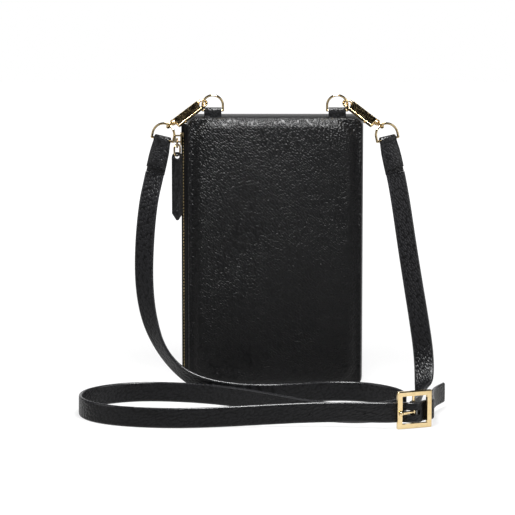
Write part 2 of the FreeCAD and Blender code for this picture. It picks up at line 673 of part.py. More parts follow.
def band(route, first, last):
    """The stretch of a route between two numbered places; a half number is the middle of a run."""
    points = [Vector(*place) for place, across in route]
    samples, radii = rounded_route(points)
    for cut_at in (first, last):
        if cut_at % 1:
            low, high = points[int(cut_at)], points[int(cut_at) + 1]
            samples.append((cut_at, (low + high) / 2, (high - low).normalize()))
    wires = []
    length = 0.0
    previous = None
    for number, place, tangent in sorted((s for s in samples if first <= s[0] <= last), key=lambda s: s[0]):
        low = min(int(number), len(route) - 2)
        share = number - low
        across = Vector(*route[low][1]) * (1 - share) + Vector(*route[low + 1][1]) * share
        wires.append(section_at(place, tangent, across))
        length += (place - previous).Length if previous else 0.0
        previous = place
    shape = Part.makeLoft(wires, True, True)
    section = size("strap_width") * size("strap_thickness")
    print(f"strap stretch {first}-{last}: length {length:.1f}, smallest radius {min(radii):.1f}, "
          f"volume {shape.Volume / (section * length):.3f} of section times length")
    return shape


def plain(vector):
    return (vector.x, vector.y, vector.z)


ACROSS_RIGHT = (STRAP_ACROSS.x, -STRAP_ACROSS.y, 0)
AFTER_FOLD = FOLD_FOOT + STRAP_DOWN * 4
TONGUE_IN = [
    (plain(in_buckle(-BAR_MIDDLE - 5.5, TONGUE_BACK)), ON_EDGE),
    (plain(in_buckle(-BAR_MIDDLE + 2.8, TONGUE_BACK)), ON_EDGE),
    (plain(in_buckle(-2.6, TONGUE_FRONT)), ON_EDGE),
    (plain(in_buckle(2.6, TONGUE_FRONT)), ON_EDGE),
    (plain(in_buckle(BAR_MIDDLE - 2.8, TONGUE_BACK)), ON_EDGE),
    (plain(in_buckle(BAR_MIDDLE + 3.5, TONGUE_BACK)), ON_EDGE),
]
LONG = [(plain(FOLD_FOOT), plain(STRAP_ACROSS)), (plain(AFTER_FOLD), plain(STRAP_ACROSS))]
LONG += LONG_ROUTE + TONGUE_IN + TONGUE_TIP
keep("left_strap_drop", feature("left_strap_drop", band(LONG, 0, 7.5)))
keep("strap_back_run", feature("strap_back_run", band(LONG, 7.5, 15.5)))
keep("strap_middle_run", feature("strap_middle_run", band(LONG, 15.5, 24.5)))
front_run = band(LONG, 24.5, 37.5)
for hole_x, hole_z in [(20.6, 8.9), (53.9, 9.9)]:
    punch = Part.makeCylinder(size("hole_size") / 2, 14, Vector(hole_x, -128, hole_z), Vector(0, 1, 0))
    front_run = front_run.cut(punch)
keep("strap_front_run", feature("strap_front_run", front_run))

# Prong: a ring round the buckle's centre bar and a shank out over the left bar
PRONG_RING = size("centre_bar") / 2 + size("running_fit")
SHANK_FROM = Vector(-0.8, size("centre_recess") - 1.8, 0)
SHANK_TO = Vector(-size("buckle_width") / 2 + 1.6, -size("buckle_depth") / 2 - size("prong_wire") * 0.72, 0)
SHANK_WAY = (SHANK_TO - SHANK_FROM).normalize()


def make_prong():
    high = size("prong_wire") * 1.4
    pivot = Vector(0, size("centre_recess"), 0)
    ring = Part.makeCylinder(PRONG_RING + 0.85, high, pivot + Vector(0, 0, -high / 2))
    shank = Part.makeCylinder(size("prong_wire") / 2, (SHANK_TO - SHANK_FROM).Length, SHANK_FROM, SHANK_WAY)
    end = Part.makeSphere(size("prong_wire") * 0.66, SHANK_TO)
    bore = Part.makeCylinder(PRONG_RING, 2 * high, pivot + Vector(0, 0, -high))
    return ring.fuse([shank, end]).cut(bore).removeSplitter()


PRONG = BUCKLE.multiply(Placement(Vector(0, 0, -size("strap_sag")), Rotation()))
keep("buckle_prong", feature("buckle_prong", make_prong()), PRONG)

tongue = band(LONG, 37.5, len(LONG) - 1)
slot_half = size("prong_wire") / 2 + size("running_gap")
slot = Part.makeBox(9.5, 2 * slot_half, 2 * slot_half, Vector(0, -slot_half, -slot_half))
slot_frame = frame_of(SHANK_FROM - SHANK_WAY * 1.5, SHANK_WAY, Vector(0, 0, 1).cross(SHANK_WAY))
slot.Placement = PRONG.multiply(slot_frame)
keep("tongue_end", feature("tongue_end", tongue.cut(slot)))

# Buckle frame with its centre bar, and the short strap's loop round that bar
frame_block = box("frame_block", "-buckle_width/2", "-buckle_depth/2", "-buckle_height/2",
                  "buckle_width", "buckle_depth", "buckle_height")
frame_outer = rounded("frame_outer", frame_block, "buckle_edge")
frame_window = box("frame_window", "-buckle_width/2 + buckle_bar", "-buckle_depth",
                   "-buckle_height/2 + buckle_bar", "buckle_width - 2*buckle_bar", "2*buckle_depth",
                   "buckle_height - 2*buckle_bar")
centre = rod("centre_rod", "z", "0", "centre_recess", "-buckle_height/2 + buckle_bar/2", "centre_bar/2",
             "buckle_height - buckle_bar")
keep("buckle_frame", fuse("buckle_frame", cut("frame_ring", frame_outer, frame_window), centre), BUCKLE)

LOOP = Placement(in_buckle(0, size("centre_recess")), Rotation(Vector(0, 0, 1), -6.0))
TAIL_END = LOOP.multVec(Vector(0, TAIL, 0))
TAIL_ON = LOOP.multVec(Vector(0, TAIL + 3, 0))
loop_eye = rod("loop_eye", "z", "0", "0", "-strap_width/2", "centre_bar/2 + wire_play + loop_leather",
               "strap_width")
loop_stem = box("loop_stem", "-loop_leather", "0", "-strap_width/2",
                "2*loop_leather", f"{TAIL}", "strap_width")
loop_bore = rod("loop_bore", "z", "0", "0", "-strap_width", "centre_bar/2 + wire_play", "2*strap_width")
loop_slot = box("loop_slot", "-5", "-5", "-prong_wire*0.7 - running_gap",
                "10", "5 + centre_bar + loop_leather", "prong_wire*1.4 + 2*running_gap")
keep("buckle_loop", cut("buckle_loop", fuse("loop_solid", loop_eye, loop_stem), loop_bore, loop_slot), LOOP)

SHORT = [(plain(Vector(-FOLD_FOOT.x, FOLD_FOOT.y, FOLD_FOOT.z)), ACROSS_RIGHT),
         (plain(Vector(-AFTER_FOLD.x, AFTER_FOLD.y, AFTER_FOLD.z)), ACROSS_RIGHT)]
SHORT += SHORT_ROUTE + [(plain(TAIL_ON), ON_EDGE), (plain(TAIL_END), ON_EDGE)]
keep("right_strap_drop", feature("right_strap_drop", band(SHORT, 0, 6.5)))
keep("buckle_strap", feature("buckle_strap", band(SHORT, 6.5, len(SHORT) - 1)))

doc.recompute()
os.makedirs("parts", exist_ok=True)
problems = []
for label, obj in pieces.items():
    if "Invalid" in obj.State or "Error" in obj.State:
        problems.append(f"{label}: state {obj.State}")
    shape = obj.Shape
    if shape.isNull() or not shape.isValid():
        problems.append(f"{label}: shape is empty or not valid")
        continue
    low = shape.BoundBox
    print(f"{label}: {len(shape.Solids)} solid(s), volume {shape.Volume:.1f}, "
          f"x {low.XMin:.1f}..{low.XMax:.1f}, y {low.YMin:.1f}..{low.YMax:.1f}, z {low.ZMin:.1f}..{low.ZMax:.1f}")
    shape.exportStep(f"parts/{label}.step")
if problems:
    raise RuntimeError("; ".join(problems))
print(f"{len(pieces)} pieces exported")
pin_z = (size("clasp_width") - size("hook_wire")) / 2 - 2 * size("hook_radius")
across_clasp = CLASP.Rotation.multVec(Vector(0, 1, 0))
along_clasp = CLASP.Rotation.multVec(Vector(1, 0, 0))
turns = [("pull ring", Vector(PULL_X, 0, PULL_TOP), Vector(0, 1, 0)),
         ("pull tab", Vector(PULL_X, 0, PULL_TOP - size("pull_ring_length")), Vector(0, 1, 0)),
         ("left bag ring", Vector(TAB_X, TAB_Y, BAR_Z), Vector(1, 0, 0)),
         ("left clasp", ARCH, Vector(1, 0, 0).cross(RING_UP)),
         ("left gate", CLASP.multVec(Vector(size("gate_pivot"), 0, pin_z)), across_clasp),
         ("left swivel", CLASP.multVec(Vector(EYE_AT, 0, 0)), along_clasp),
         ("prong", in_buckle(0, size("centre_recess")), Vector(0, 0, 1))]
for turn_name, place, way in turns:
    print(f"{turn_name} turns about {place.x:.3f} {place.y:.3f} {place.z:.3f} "
          f"along {way.x:.5f} {way.y:.5f} {way.z:.5f}")
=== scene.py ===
# %% [markdown]
# A phone pouch is two padded leather panels sewn to a narrow gusset, with a zip down its left side.
# Two snap clasps hang a shoulder strap from rings on its top, and the spare strap lies in front of it.
# The metal parts come ready from the imported model. This lesson makes everything that is leather or cloth,
# and the finishes of all of it.

# %% Load the imported frame
import math

import bpy
from mathutils import Matrix, Vector


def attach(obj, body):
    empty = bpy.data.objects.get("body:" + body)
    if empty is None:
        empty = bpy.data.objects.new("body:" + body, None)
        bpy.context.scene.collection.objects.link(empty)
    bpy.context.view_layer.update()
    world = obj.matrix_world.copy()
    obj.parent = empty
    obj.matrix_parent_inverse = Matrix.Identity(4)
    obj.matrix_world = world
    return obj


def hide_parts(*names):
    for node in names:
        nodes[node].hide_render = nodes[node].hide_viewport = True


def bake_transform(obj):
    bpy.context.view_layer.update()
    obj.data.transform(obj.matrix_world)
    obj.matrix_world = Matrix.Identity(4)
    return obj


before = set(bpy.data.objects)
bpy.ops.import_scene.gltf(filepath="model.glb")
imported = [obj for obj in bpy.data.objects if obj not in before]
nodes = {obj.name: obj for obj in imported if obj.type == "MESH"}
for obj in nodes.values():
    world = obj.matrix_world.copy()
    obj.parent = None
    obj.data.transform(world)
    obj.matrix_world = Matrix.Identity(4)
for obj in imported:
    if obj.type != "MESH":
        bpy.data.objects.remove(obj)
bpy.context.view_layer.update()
MM = 0.001

# %% [markdown]
# The photograph was taken from a little above and from far away, so upright edges stay upright.
# A long lens two metres off gives that. No shift is needed, because the aim point sets the framing.

# %% Camera
VIEW_ELEVATION = math.radians(9.8)
VIEW_DISTANCE = 2.0
VIEW_AIM = Vector((-0.0111, -0.0100, 0.0859))
VIEW_WAY = Vector((0, -math.cos(VIEW_ELEVATION), math.sin(VIEW_ELEVATION)))
SENSOR_MM, LENS_MM = 36, 219.2
bpy.ops.object.select_all(action="DESELECT")
bpy.ops.object.camera_add(location=VIEW_AIM + VIEW_WAY * VIEW_DISTANCE,
                          rotation=(math.pi / 2 - VIEW_ELEVATION, 0, 0))
camera = bpy.context.object
camera.data.sensor_width = SENSOR_MM
camera.data.lens = LENS_MM
bpy.context.scene.camera = camera
bpy.context.scene.view_settings.view_transform = "Standard"
print("camera at", tuple(round(v, 3) for v in camera.location))

# %% [markdown]
# The strap is a flat leather band about 12.6 mm wide and 2 mm thick. On the floor it stands on its edge.
# Its route is a list of places, each with the way that the band's width points there.
# Two smooth splines run through the places, one for each edge of the band, so that the band can twist.
# The middle of the two is the strap's own line, and a rounded section is carried along it.

# %% Strap routes, in metres
STRAP_WIDTH = 12.6 * MM
STRAP_THICK = 2.1 * MM
ON_EDGE = (0, 0, 1)
LEFT_ACROSS = (0.93, -0.32, 0)
RIGHT_ACROSS = (0.93, 0.32, 0)
LONG_ROUTE = [
    ((-0.07599, -0.01975, 0.14154), LEFT_ACROSS),
    ((-0.07687, -0.02015, 0.13766), LEFT_ACROSS),
    ((-0.0802, -0.0240, 0.1230), (0.94, -0.34, 0.05)),
    ((-0.0826, -0.0270, 0.0980), (0.95, -0.30, 0.03)),
    ((-0.0830, -0.0300, 0.0720), (0.90, -0.40, 0.06)),
    ((-0.0798, -0.0330, 0.0500), (0.76, -0.60, 0.22)),
    ((-0.0722, -0.0365, 0.0310), (0.42, -0.85, 0.32)),
    ((-0.0595, -0.0410, 0.0170), (0.28, -0.80, 0.54)),
    ((-0.0430, -0.0460, 0.0092), (0.12, -0.45, 0.88)),
    ((-0.0240, -0.0510, 0.0063), ON_EDGE),
    ((-0.0050, -0.0535, 0.0063), ON_EDGE),
    ((0.0150, -0.0500, 0.0063), ON_EDGE),
    ((0.0360, -0.0435, 0.0063), ON_EDGE),
    ((0.0560, -0.0460, 0.0063), ON_EDGE),
    ((0.0715, -0.0570, 0.0063), ON_EDGE),
    ((0.0805, -0.0720, 0.0063), ON_EDGE),
    ((0.0800, -0.0890, 0.0063), ON_EDGE),
    ((0.0700, -0.1020, 0.0063), ON_EDGE),
    ((0.0540, -0.1085, 0.0063), ON_EDGE),
    ((0.0370, -0.1070, 0.0063), ON_EDGE),
    ((0.0200, -0.0985, 0.0063), ON_EDGE),
    ((0.0020, -0.0830, 0.0063), ON_EDGE),
    ((-0.0170, -0.0670, 0.0063), ON_EDGE),
    ((-0.0370, -0.0550, 0.0063), ON_EDGE),
    ((-0.0580, -0.0480, 0.0063), ON_EDGE),
    ((-0.0810, -0.0450, 0.0063), ON_EDGE),
    ((-0.1025, -0.0510, 0.0063), ON_EDGE),
    ((-0.1180, -0.0655, 0.0063), ON_EDGE),
    ((-0.1220, -0.0840, 0.0063), ON_EDGE),
    ((-0.1155, -0.1020, 0.0063), ON_EDGE),
    ((-0.1000, -0.1145, 0.0063), ON_EDGE),
    ((-0.0780, -0.1210, 0.0063), ON_EDGE),
    ((-0.0540, -0.1230, 0.0065), ON_EDGE),
    ((-0.0290, -0.1210, 0.0070), ON_EDGE),
    ((-0.0030, -0.1185, 0.0079), ON_EDGE),
    ((0.0230, -0.1180, 0.0090), ON_EDGE),
    ((0.0460, -0.1205, 0.0098), ON_EDGE),
    ((0.0590, -0.1230, 0.0100), ON_EDGE),
    ((0.06884, -0.1238, 0.0100), ON_EDGE),
    ((0.07664, -0.12096, 0.0100), ON_EDGE),
    ((0.08228, -0.12386, 0.0100), ON_EDGE),
    ((0.08716, -0.12208, 0.0100), ON_EDGE),
    ((0.08961, -0.11624, 0.0100), ON_EDGE),
    ((0.09553, -0.11409, 0.0100), ON_EDGE),
    ((0.0959, -0.1070, 0.0100), ON_EDGE),
    ((0.0962, -0.0960, 0.0099), ON_EDGE),
    ((0.0973, -0.0840, 0.0098), ON_EDGE),
    ((0.1004, -0.0730, 0.0097), ON_EDGE),
    ((0.1050, -0.0635, 0.0096), ON_EDGE),
]
SHORT_ROUTE = [
    ((0.07599, -0.01975, 0.14154), RIGHT_ACROSS),
    ((0.07687, -0.02015, 0.13766), RIGHT_ACROSS),
    ((0.0795, -0.0240, 0.1230), (0.94, 0.30, 0.05)),
    ((0.0830, -0.0275, 0.0990), (0.96, 0.26, 0)),
    ((0.0870, -0.0310, 0.0740), (0.97, 0.20, 0)),
    ((0.0910, -0.0345, 0.0500), (0.97, 0.10, 0)),
    ((0.0940, -0.0390, 0.0290), (0.97, 0, 0.15)),
    ((0.0940, -0.0475, 0.0135), (0.80, 0.10, 0.55)),
    ((0.0915, -0.0610, 0.0072), (0.45, 0.10, 0.85)),
    ((0.0895, -0.0760, 0.0066), (0.15, 0, 0.97)),
    ((0.0890, -0.0900, 0.0080), ON_EDGE),
    ((0.08478, -0.10775, 0.0100), ON_EDGE),
    ((0.08446, -0.11073, 0.0100), ON_EDGE),
]
print(len(LONG_ROUTE), "places on the long strap,", len(SHORT_ROUTE), "on the short one")

# %% Helpers for lines and sections
SPLINE_STEPS = 10


def spline_line(name, places):
    """Points read from an order-3 NURBS spline that has these places as its control points."""
    curve = bpy.data.curves.new(name, "CURVE")
    curve.dimensions = "3D"
    curve.resolution_u = SPLINE_STEPS
    spline = curve.splines.new("NURBS")
    spline.points.add(len(places) - 1)
    for point, place in zip(spline.points, places):
        point.co = (*place, 1.0)
    spline.order_u = 3
    spline.use_endpoint_u = True
    spline.resolution_u = SPLINE_STEPS
    holder = bpy.data.objects.new(name, curve)
    bpy.context.collection.objects.link(holder)
    mesh = bpy.data.meshes.new_from_object(holder)
    line = [v.co.copy() for v in mesh.vertices]
    bpy.data.objects.remove(holder)
    bpy.data.meshes.remove(mesh)
    return line


def strap_section(width, thick, crown):
    """Outline of a band with fully rounded edges, as (across, up) pairs from its upper side."""
    edge = thick / 2
    half = width / 2 - edge
    steps = [-1, -0.75, -0.5, -0.25, 0, 0.25, 0.5, 0.75, 1]
    upper = [(half * s, edge + crown * (1 - s * s)) for s in steps]
    turns = [math.radians(a) for a in (68, 45, 22, 0, -22, -45, -68)]
    right = [(half + edge * math.cos(a), edge * math.sin(a)) for a in turns]
    return upper + right + [(-x, -y) for x, y in upper + right]


def carried_band(name, middles, acrosses, section, edge_columns):
    """Mesh of a section carried along a line, with a UV map in metres along and round it.

    The columns of faces named as edges take the second material.
    """
    rows = []
    along = [0.0]
    for number, (middle, across) in enumerate(zip(middles, acrosses)):
        way = middles[min(number + 1, len(middles) - 1)] - middles[max(number - 1, 0)]
        way.normalize()
        wide = (across - way * across.dot(way)).normalized()
        up = way.cross(wide)
        rows.append([middle + wide * a + up * b for a, b in section])
        if number:
            along.append(along[-1] + (middle - middles[number - 1]).length)
    count = len(section)
    round_it = [0.0]
    for number in range(count):
        step = Vector(section[(number + 1) % count]) - Vector(section[number])
        round_it.append(round_it[-1] + step.length)
    faces = []
    uvs = []
    for row in range(len(rows) - 1):
        for col in range(count):
            after = (col + 1) % count
            faces.append([row * count + col, row * count + after,
                          (row + 1) * count + after, (row + 1) * count + col])
            uvs += [(along[row], round_it[col]), (along[row], round_it[col + 1]),
                    (along[row + 1], round_it[col + 1]), (along[row + 1], round_it[col])]
    last = (len(rows) - 1) * count
    faces.append([count - 1 - col for col in range(count)])
    faces.append([last + col for col in range(count)])
    uvs += [(0, round_it[count - 1 - col]) for col in range(count)]
    uvs += [(along[-1], round_it[col]) for col in range(count)]
    mesh = bpy.data.meshes.new(name)
    mesh.from_pydata([p for row in rows for p in row], [], faces)
    layer = mesh.uv_layers.new(name="UVMap")
    for item, uv in zip(layer.data, uvs):
        item.uv = uv
    for number, face in enumerate(mesh.polygons):
        face.material_index = int(number % count in edge_columns or number >= (len(rows) - 1) * count)
    obj = bpy.data.objects.new(name, mesh)
    bpy.context.collection.objects.link(obj)
    return obj


def only(obj):
    """Select one object and make it the active one."""
    bpy.ops.object.select_all(action="DESELECT")
    obj.select_set(True)
    bpy.context.view_layer.objects.active = obj
    return obj


def outward(obj):
    """Turn every face of a closed piece outwards."""
    only(obj)
    bpy.ops.object.mode_set(mode="EDIT")
    bpy.ops.mesh.select_all(action="SELECT")
    bpy.ops.mesh.normals_make_consistent(inside=False)
    bpy.ops.object.mode_set(mode="OBJECT")
    return obj


def smooth(obj, degrees=40):
    only(obj)
    bpy.ops.object.shade_smooth_by_angle(angle=math.radians(degrees))
    return obj


def use_modifier(obj, kind, **settings):
    """Add one modifier with its settings and apply it."""
    only(obj)
    modifier = obj.modifiers.new(kind.lower(), kind)
    for setting, value in settings.items():
        setattr(modifier, setting, value)
    bpy.ops.object.modifier_apply(modifier=modifier.name)
    return obj


def punch(obj, cutter):
    """Cut one closed shape out of another and drop the cutter."""
    use_modifier(obj, "BOOLEAN", operation="DIFFERENCE", object=cutter, solver="EXACT")
    bpy.data.objects.remove(cutter)
    return obj


def punch_box(obj, location, size, turn=0.0):
    """Cut a box out of a piece, turned about the upright."""
    bpy.ops.object.select_all(action="DESELECT")
    bpy.ops.mesh.primitive_cube_add(size=1, location=location, rotation=(0, 0, turn), scale=size)
    return punch(obj, bpy.context.object)


def punch_hole(obj, location, radius, depth, sides):
    """Cut a round hole along Y through a piece."""
    bpy.ops.object.select_all(action="DESELECT")
    bpy.ops.mesh.primitive_cylinder_add(vertices=sides, radius=radius, depth=depth, location=location,
                                        rotation=(math.pi / 2, 0, 0))
    return punch(obj, bpy.context.object)


def strap_lines(name, route):
    """The strap's middle line and the way its width points, read from the splines of its two edges."""
    half = STRAP_WIDTH / 2
    edges = []
    for side in (1, -1):
        places = []
        for number, (place, across) in enumerate(route):
            before = Vector(route[max(number - 1, 0)][0])
            after = Vector(route[min(number + 1, len(route) - 1)][0])
            way = (after - before).normalized()
            wide = Vector(across)
            wide = (wide - way * wide.dot(way)).normalized()
            places.append(Vector(place) + wide * (half * side))
        edges.append(spline_line(f"{name}_edge", places))
    middles = [(a + b) / 2 for a, b in zip(*edges)]
    acrosses = [(a - b).normalized() for a, b in zip(*edges)]
    return middles, acrosses


def line_length(points):
    return sum((b - a).length for a, b in zip(points, points[1:]))


# %% [markdown]
# Both straps are made with the same section. The long one has punched holes and a slot where the prong
# goes through, cut with boolean shapes.

# %% Long and short strap
STRAP_CROWN = 0.06 * MM
STRAP_SECTION = strap_section(STRAP_WIDTH, STRAP_THICK, STRAP_CROWN)
EDGE_COLUMNS = {*range(8, 16), *range(24, 32)}
long_middles, long_acrosses = strap_lines("long_strap", LONG_ROUTE)
short_middles, short_acrosses = strap_lines("short_strap", SHORT_ROUTE)
long_strap = carried_band("long_strap", long_middles, long_acrosses, STRAP_SECTION, EDGE_COLUMNS)
short_strap = carried_band("short_strap", short_middles, short_acrosses, STRAP_SECTION, EDGE_COLUMNS)
for strap in (long_strap, short_strap):
    strap.data.materials.append(None)
    strap.data.materials.append(None)
    outward(strap)

HOLES = [(20.6, 8.9), (53.9, 9.9)]
HOLE_Y = -0.121
HOLE_RADIUS, HOLE_DEPTH = 1.1 * MM, 14 * MM
SLOT_PLACE = (0.0816, -0.1236, 0.0100)
SLOT_SIZE = (0.0110, 0.0090, 0.0032)
SLOT_TURN = math.radians(36)
for hole_x, hole_z in HOLES:
    punch_hole(long_strap, (hole_x * MM, HOLE_Y, hole_z * MM), HOLE_RADIUS, HOLE_DEPTH, sides=24)
punch_box(long_strap, SLOT_PLACE, SLOT_SIZE, SLOT_TURN)
for strap in (long_strap, short_strap):
    smooth(strap, 35)
LONG_LENGTH = line_length(long_middles)
SHORT_LENGTH = line_length(short_middles)
print("long strap", round(LONG_LENGTH, 4), "m, short strap", round(SHORT_LENGTH, 4), "m")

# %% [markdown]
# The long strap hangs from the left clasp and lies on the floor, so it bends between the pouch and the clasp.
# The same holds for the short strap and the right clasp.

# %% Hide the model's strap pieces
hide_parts("left_strap_drop", "strap_back_run", "strap_middle_run", "strap_front_run",
            "tongue_end")
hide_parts("right_strap_drop", "buckle_strap")
for strap, clasp, middles, length, far_end, holds in [
        (long_strap, "left_clasp", long_middles, LONG_LENGTH, "bare", []),
        (short_strap, "right_clasp", short_middles, SHORT_LENGTH, "fitting",
         [nodes["buckle_frame"], nodes["buckle_prong"]])]:
    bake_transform(strap)

# %% [markdown]
# Each panel is leather over thin foam: flat where it is sewn down at the sides, and swelling softly inside.
# A grid is crowded towards its edges, its corners are rounded, and its points are lifted by a rule:
# a turned edge, a sewing groove along the two sides, then a roll that rises from the seam and levels out.
# The rim is extruded back to the gusset. All measures are in millimetres.

# %% Padded panels
PANEL_HALF = 56.0
PANEL_TALL = 176.0
PANEL_INSET = 0.7
PANEL_CORNER = 6.0
FACE_HALF_X = PANEL_HALF - PANEL_INSET
FACE_HALF_Z = PANEL_TALL / 2 - PANEL_INSET
SEAT = 8.0
LEATHER = 1.3
RIM_HEIGHT, LIP_WIDTH = 0.35, 0.9
SEAM_FROM_EDGE = 2.0
GROOVE_DEPTH, GROOVE_WIDTH = 0.28, 0.45
SWELL_INSET_X, SWELL_INSET_Z, SWELL_CORNER = 3.3, 0.5, 15.0
ROLL = 2.2
RIPPLE_FADE, RIPPLE_SHARE = 11.0, 0.12
CROWDING = 0.65
FRONT_CROWN, BACK_CROWN = 2.6, 1.2


def inside_rounded(x, z, half_x, half_z, radius):
    """How far a place lies inside a rounded rectangle, in millimetres."""
    qx = abs(x) - (half_x - radius)
    qz = abs(z) - (half_z - radius)
    return radius - math.hypot(max(qx, 0), max(qz, 0)) - min(max(qx, qz), 0)


def panel_height(x, z, crown):
    """Height of the leather over the gusset's edge, in millimetres."""
    edge = inside_rounded(x, z, FACE_HALF_X, FACE_HALF_Z, PANEL_CORNER)
    lip = 1 - (1 - min(max(edge, 0) / LIP_WIDTH, 1)) ** 2
    swell = inside_rounded(x, z, FACE_HALF_X - SWELL_INSET_X, FACE_HALF_Z - SWELL_INSET_Z, SWELL_CORNER)
    share = min(max(swell, 0) / RIPPLE_FADE, 1)
    bend = min(max(swell - ROLL, 0) / (2 * ROLL), 1)
    rise = (min(max(swell, 0), ROLL) / ROLL + 2 * (bend - bend ** 3 + bend ** 4 / 2)) / 2
    height = RIM_HEIGHT + (LEATHER - RIM_HEIGHT) * math.sqrt(lip) + crown * rise
    from_side = FACE_HALF_X - abs(x)
    height -= GROOVE_DEPTH * math.exp(-((from_side - SEAM_FROM_EDGE) / GROOVE_WIDTH) ** 2)
    ripple = math.sin(x * 0.09 + 0.7) * math.sin(z * 0.061 + 0.3) + 0.6 * math.sin(x * 0.05 - z * 0.083)
    return height + RIPPLE_SHARE * crown * share * ripple


def padded_panel(name, side, crown):
    """One panel, on the front for side -1 and on the back for side 1."""
    bpy.ops.object.select_all(action="DESELECT")
    bpy.ops.mesh.primitive_grid_add(x_subdivisions=110, y_subdivisions=160, size=2)
    panel = bpy.context.object
    panel.name = name
    for vertex in panel.data.vertices:
        a, b = vertex.co.x, vertex.co.y
        x = ((1 - CROWDING) * a + CROWDING * math.sin(a * math.pi / 2)) * FACE_HALF_X
        z = ((1 - CROWDING) * b + CROWDING * math.sin(b * math.pi / 2)) * FACE_HALF_Z
        u = (abs(x) - FACE_HALF_X + PANEL_CORNER) / PANEL_CORNER
        v = (abs(z) - FACE_HALF_Z + PANEL_CORNER) / PANEL_CORNER
        if u > 0 and v > 0:
            u, v = u * math.sqrt(1 - v * v / 2), v * math.sqrt(1 - u * u / 2)
            x = math.copysign(FACE_HALF_X - PANEL_CORNER + PANEL_CORNER * u, x)
            z = math.copysign(FACE_HALF_Z - PANEL_CORNER + PANEL_CORNER * v, z)
        y = SEAT + panel_height(x, z, crown)
        vertex.co = (-side * x * MM, side * y * MM, (z + PANEL_TALL / 2) * MM)
    only(panel)
    bpy.ops.object.mode_set(mode="EDIT")
    bpy.ops.mesh.select_all(action="DESELECT")
    bpy.ops.mesh.select_non_manifold()
    bpy.ops.mesh.extrude_region_move(TRANSFORM_OT_translate={"value": (0, -side * RIM_HEIGHT * MM, 0)})
    bpy.ops.mesh.edge_face_add()
    bpy.ops.object.mode_set(mode="OBJECT")
    outward(panel)
    smooth(panel, 50)
    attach(panel, "pouch")
    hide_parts(f"{name.split('_')[0]}_panel", f"{name.split('_')[0]}_padding")
    print(name, len(panel.data.polygons), "faces")
    return panel


front_leather = padded_panel("front_leather", -1, FRONT_CROWN)
back_leather = padded_panel("back_leather", 1, BACK_CROWN)

# %% [markdown]
# The gusset is one leather strip round the bottom, the right side and the top. It is a little fuller than
# the panels' edges and rolls down into both seams, which draws the dark line under the top band.
# The strip's section is carried round a rounded rectangle that stays open on the zip's side.

# %% Gusset
GUSSET_CORNER = 6.5
GUSSET_END = 6.8


def gusset_line():
    """Places round the pouch in the XZ plane, from the left side's foot to its top, with the outward way."""
    places = [(-PANEL_HALF, GUSSET_END, -1, 0)]
    corners = [(-1, 0, 180), (1, 0, 270), (1, 1, 0), (-1, 1, 90)]
    for sx, top, start in corners:
        cx = sx * (PANEL_HALF - GUSSET_CORNER)
        cz = PANEL_TALL - GUSSET_CORNER if top else GUSSET_CORNER
        for step in range(9):
            turn = math.radians(start + 90 * step / 8)
            places.append((cx + GUSSET_CORNER * math.cos(turn), cz + GUSSET_CORNER * math.sin(turn),
                           math.cos(turn), math.sin(turn)))
        if (sx, top) == (-1, 0):
            places += [(x, 0, 0, -1) for x in range(-44, 45, 8)]
        elif (sx, top) == (1, 0):
            places += [(PANEL_HALF, z, 1, 0) for z in range(14, 163, 8)]
        elif (sx, top) == (1, 1):
            places += [(x, PANEL_TALL, 0, 1) for x in range(44, -45, -8)]
    places.append((-PANEL_HALF, PANEL_TALL - GUSSET_END, -1, 0))
    return places


GUSSET_SECTION = [(-7.9, -1.9), (-7.5, -1.4), (-6.8, -1.0), (-5.6, -0.62), (-3.6, -0.2), (-1, 0.16),
                  (1.5, 0.32), (4.5, 0.34), (6.4, 0.2), (7.3, -0.2), (7.9, -1.2), (7.2, -1.65), (4, -1.5),
                  (-4, -1.7), (-7.2, -2.1)]


def make_gusset():
    rows = gusset_line()
    vertices = []
    faces = []
    count = len(GUSSET_SECTION)
    for x, z, out_x, out_z in rows:
        for y, lift in GUSSET_SECTION:
            vertices.append(((x + out_x * lift) * MM, y * MM, (z + out_z * lift) * MM))
    for row in range(len(rows) - 1):
        for col in range(count):
            after = (col + 1) % count
            faces.append([row * count + col, row * count + after,
                          (row + 1) * count + after, (row + 1) * count + col])
    faces.append(list(range(count)))
    faces.append([(len(rows) - 1) * count + col for col in range(count)])
    mesh = bpy.data.meshes.new("gusset_leather")
    mesh.from_pydata(vertices, [], faces)
    strip = bpy.data.objects.new("gusset_leather", mesh)
    bpy.context.collection.objects.link(strip)
    outward(strip)
    smooth(strip, 60)
    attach(strip, "pouch")
    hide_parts("gusset")
    return strip


gusset_leather = make_gusset()
print("gusset", len(gusset_leather.data.polygons), "faces")

# %% [markdown]
# The zip's two tapes are woven cloth. Each comes out from under a panel's edge and bends round to the teeth.
# One plane is extruded step by step along that bend and given its thickness. The back tape stands out
# a little more, so black cloth shows in the gaps between the teeth.

# %% Zip tapes
TAPE_FOOT, TAPE_HEAD = 6.2, 169.8
TAPE_THICK = 0.7
CHAIN_X = -58.0
UNDER_PANEL = [(-46.0, 7.65), (-54.6, 7.65), (-55.5, 7.2), (-56.1, 6.2)]
FRONT_EDGE = [(-56.5, 4.4), (CHAIN_X + 0.3, 2.0)]
BACK_EDGE = [(-58.2, 4.4), (CHAIN_X - 1.4, 2.3)]


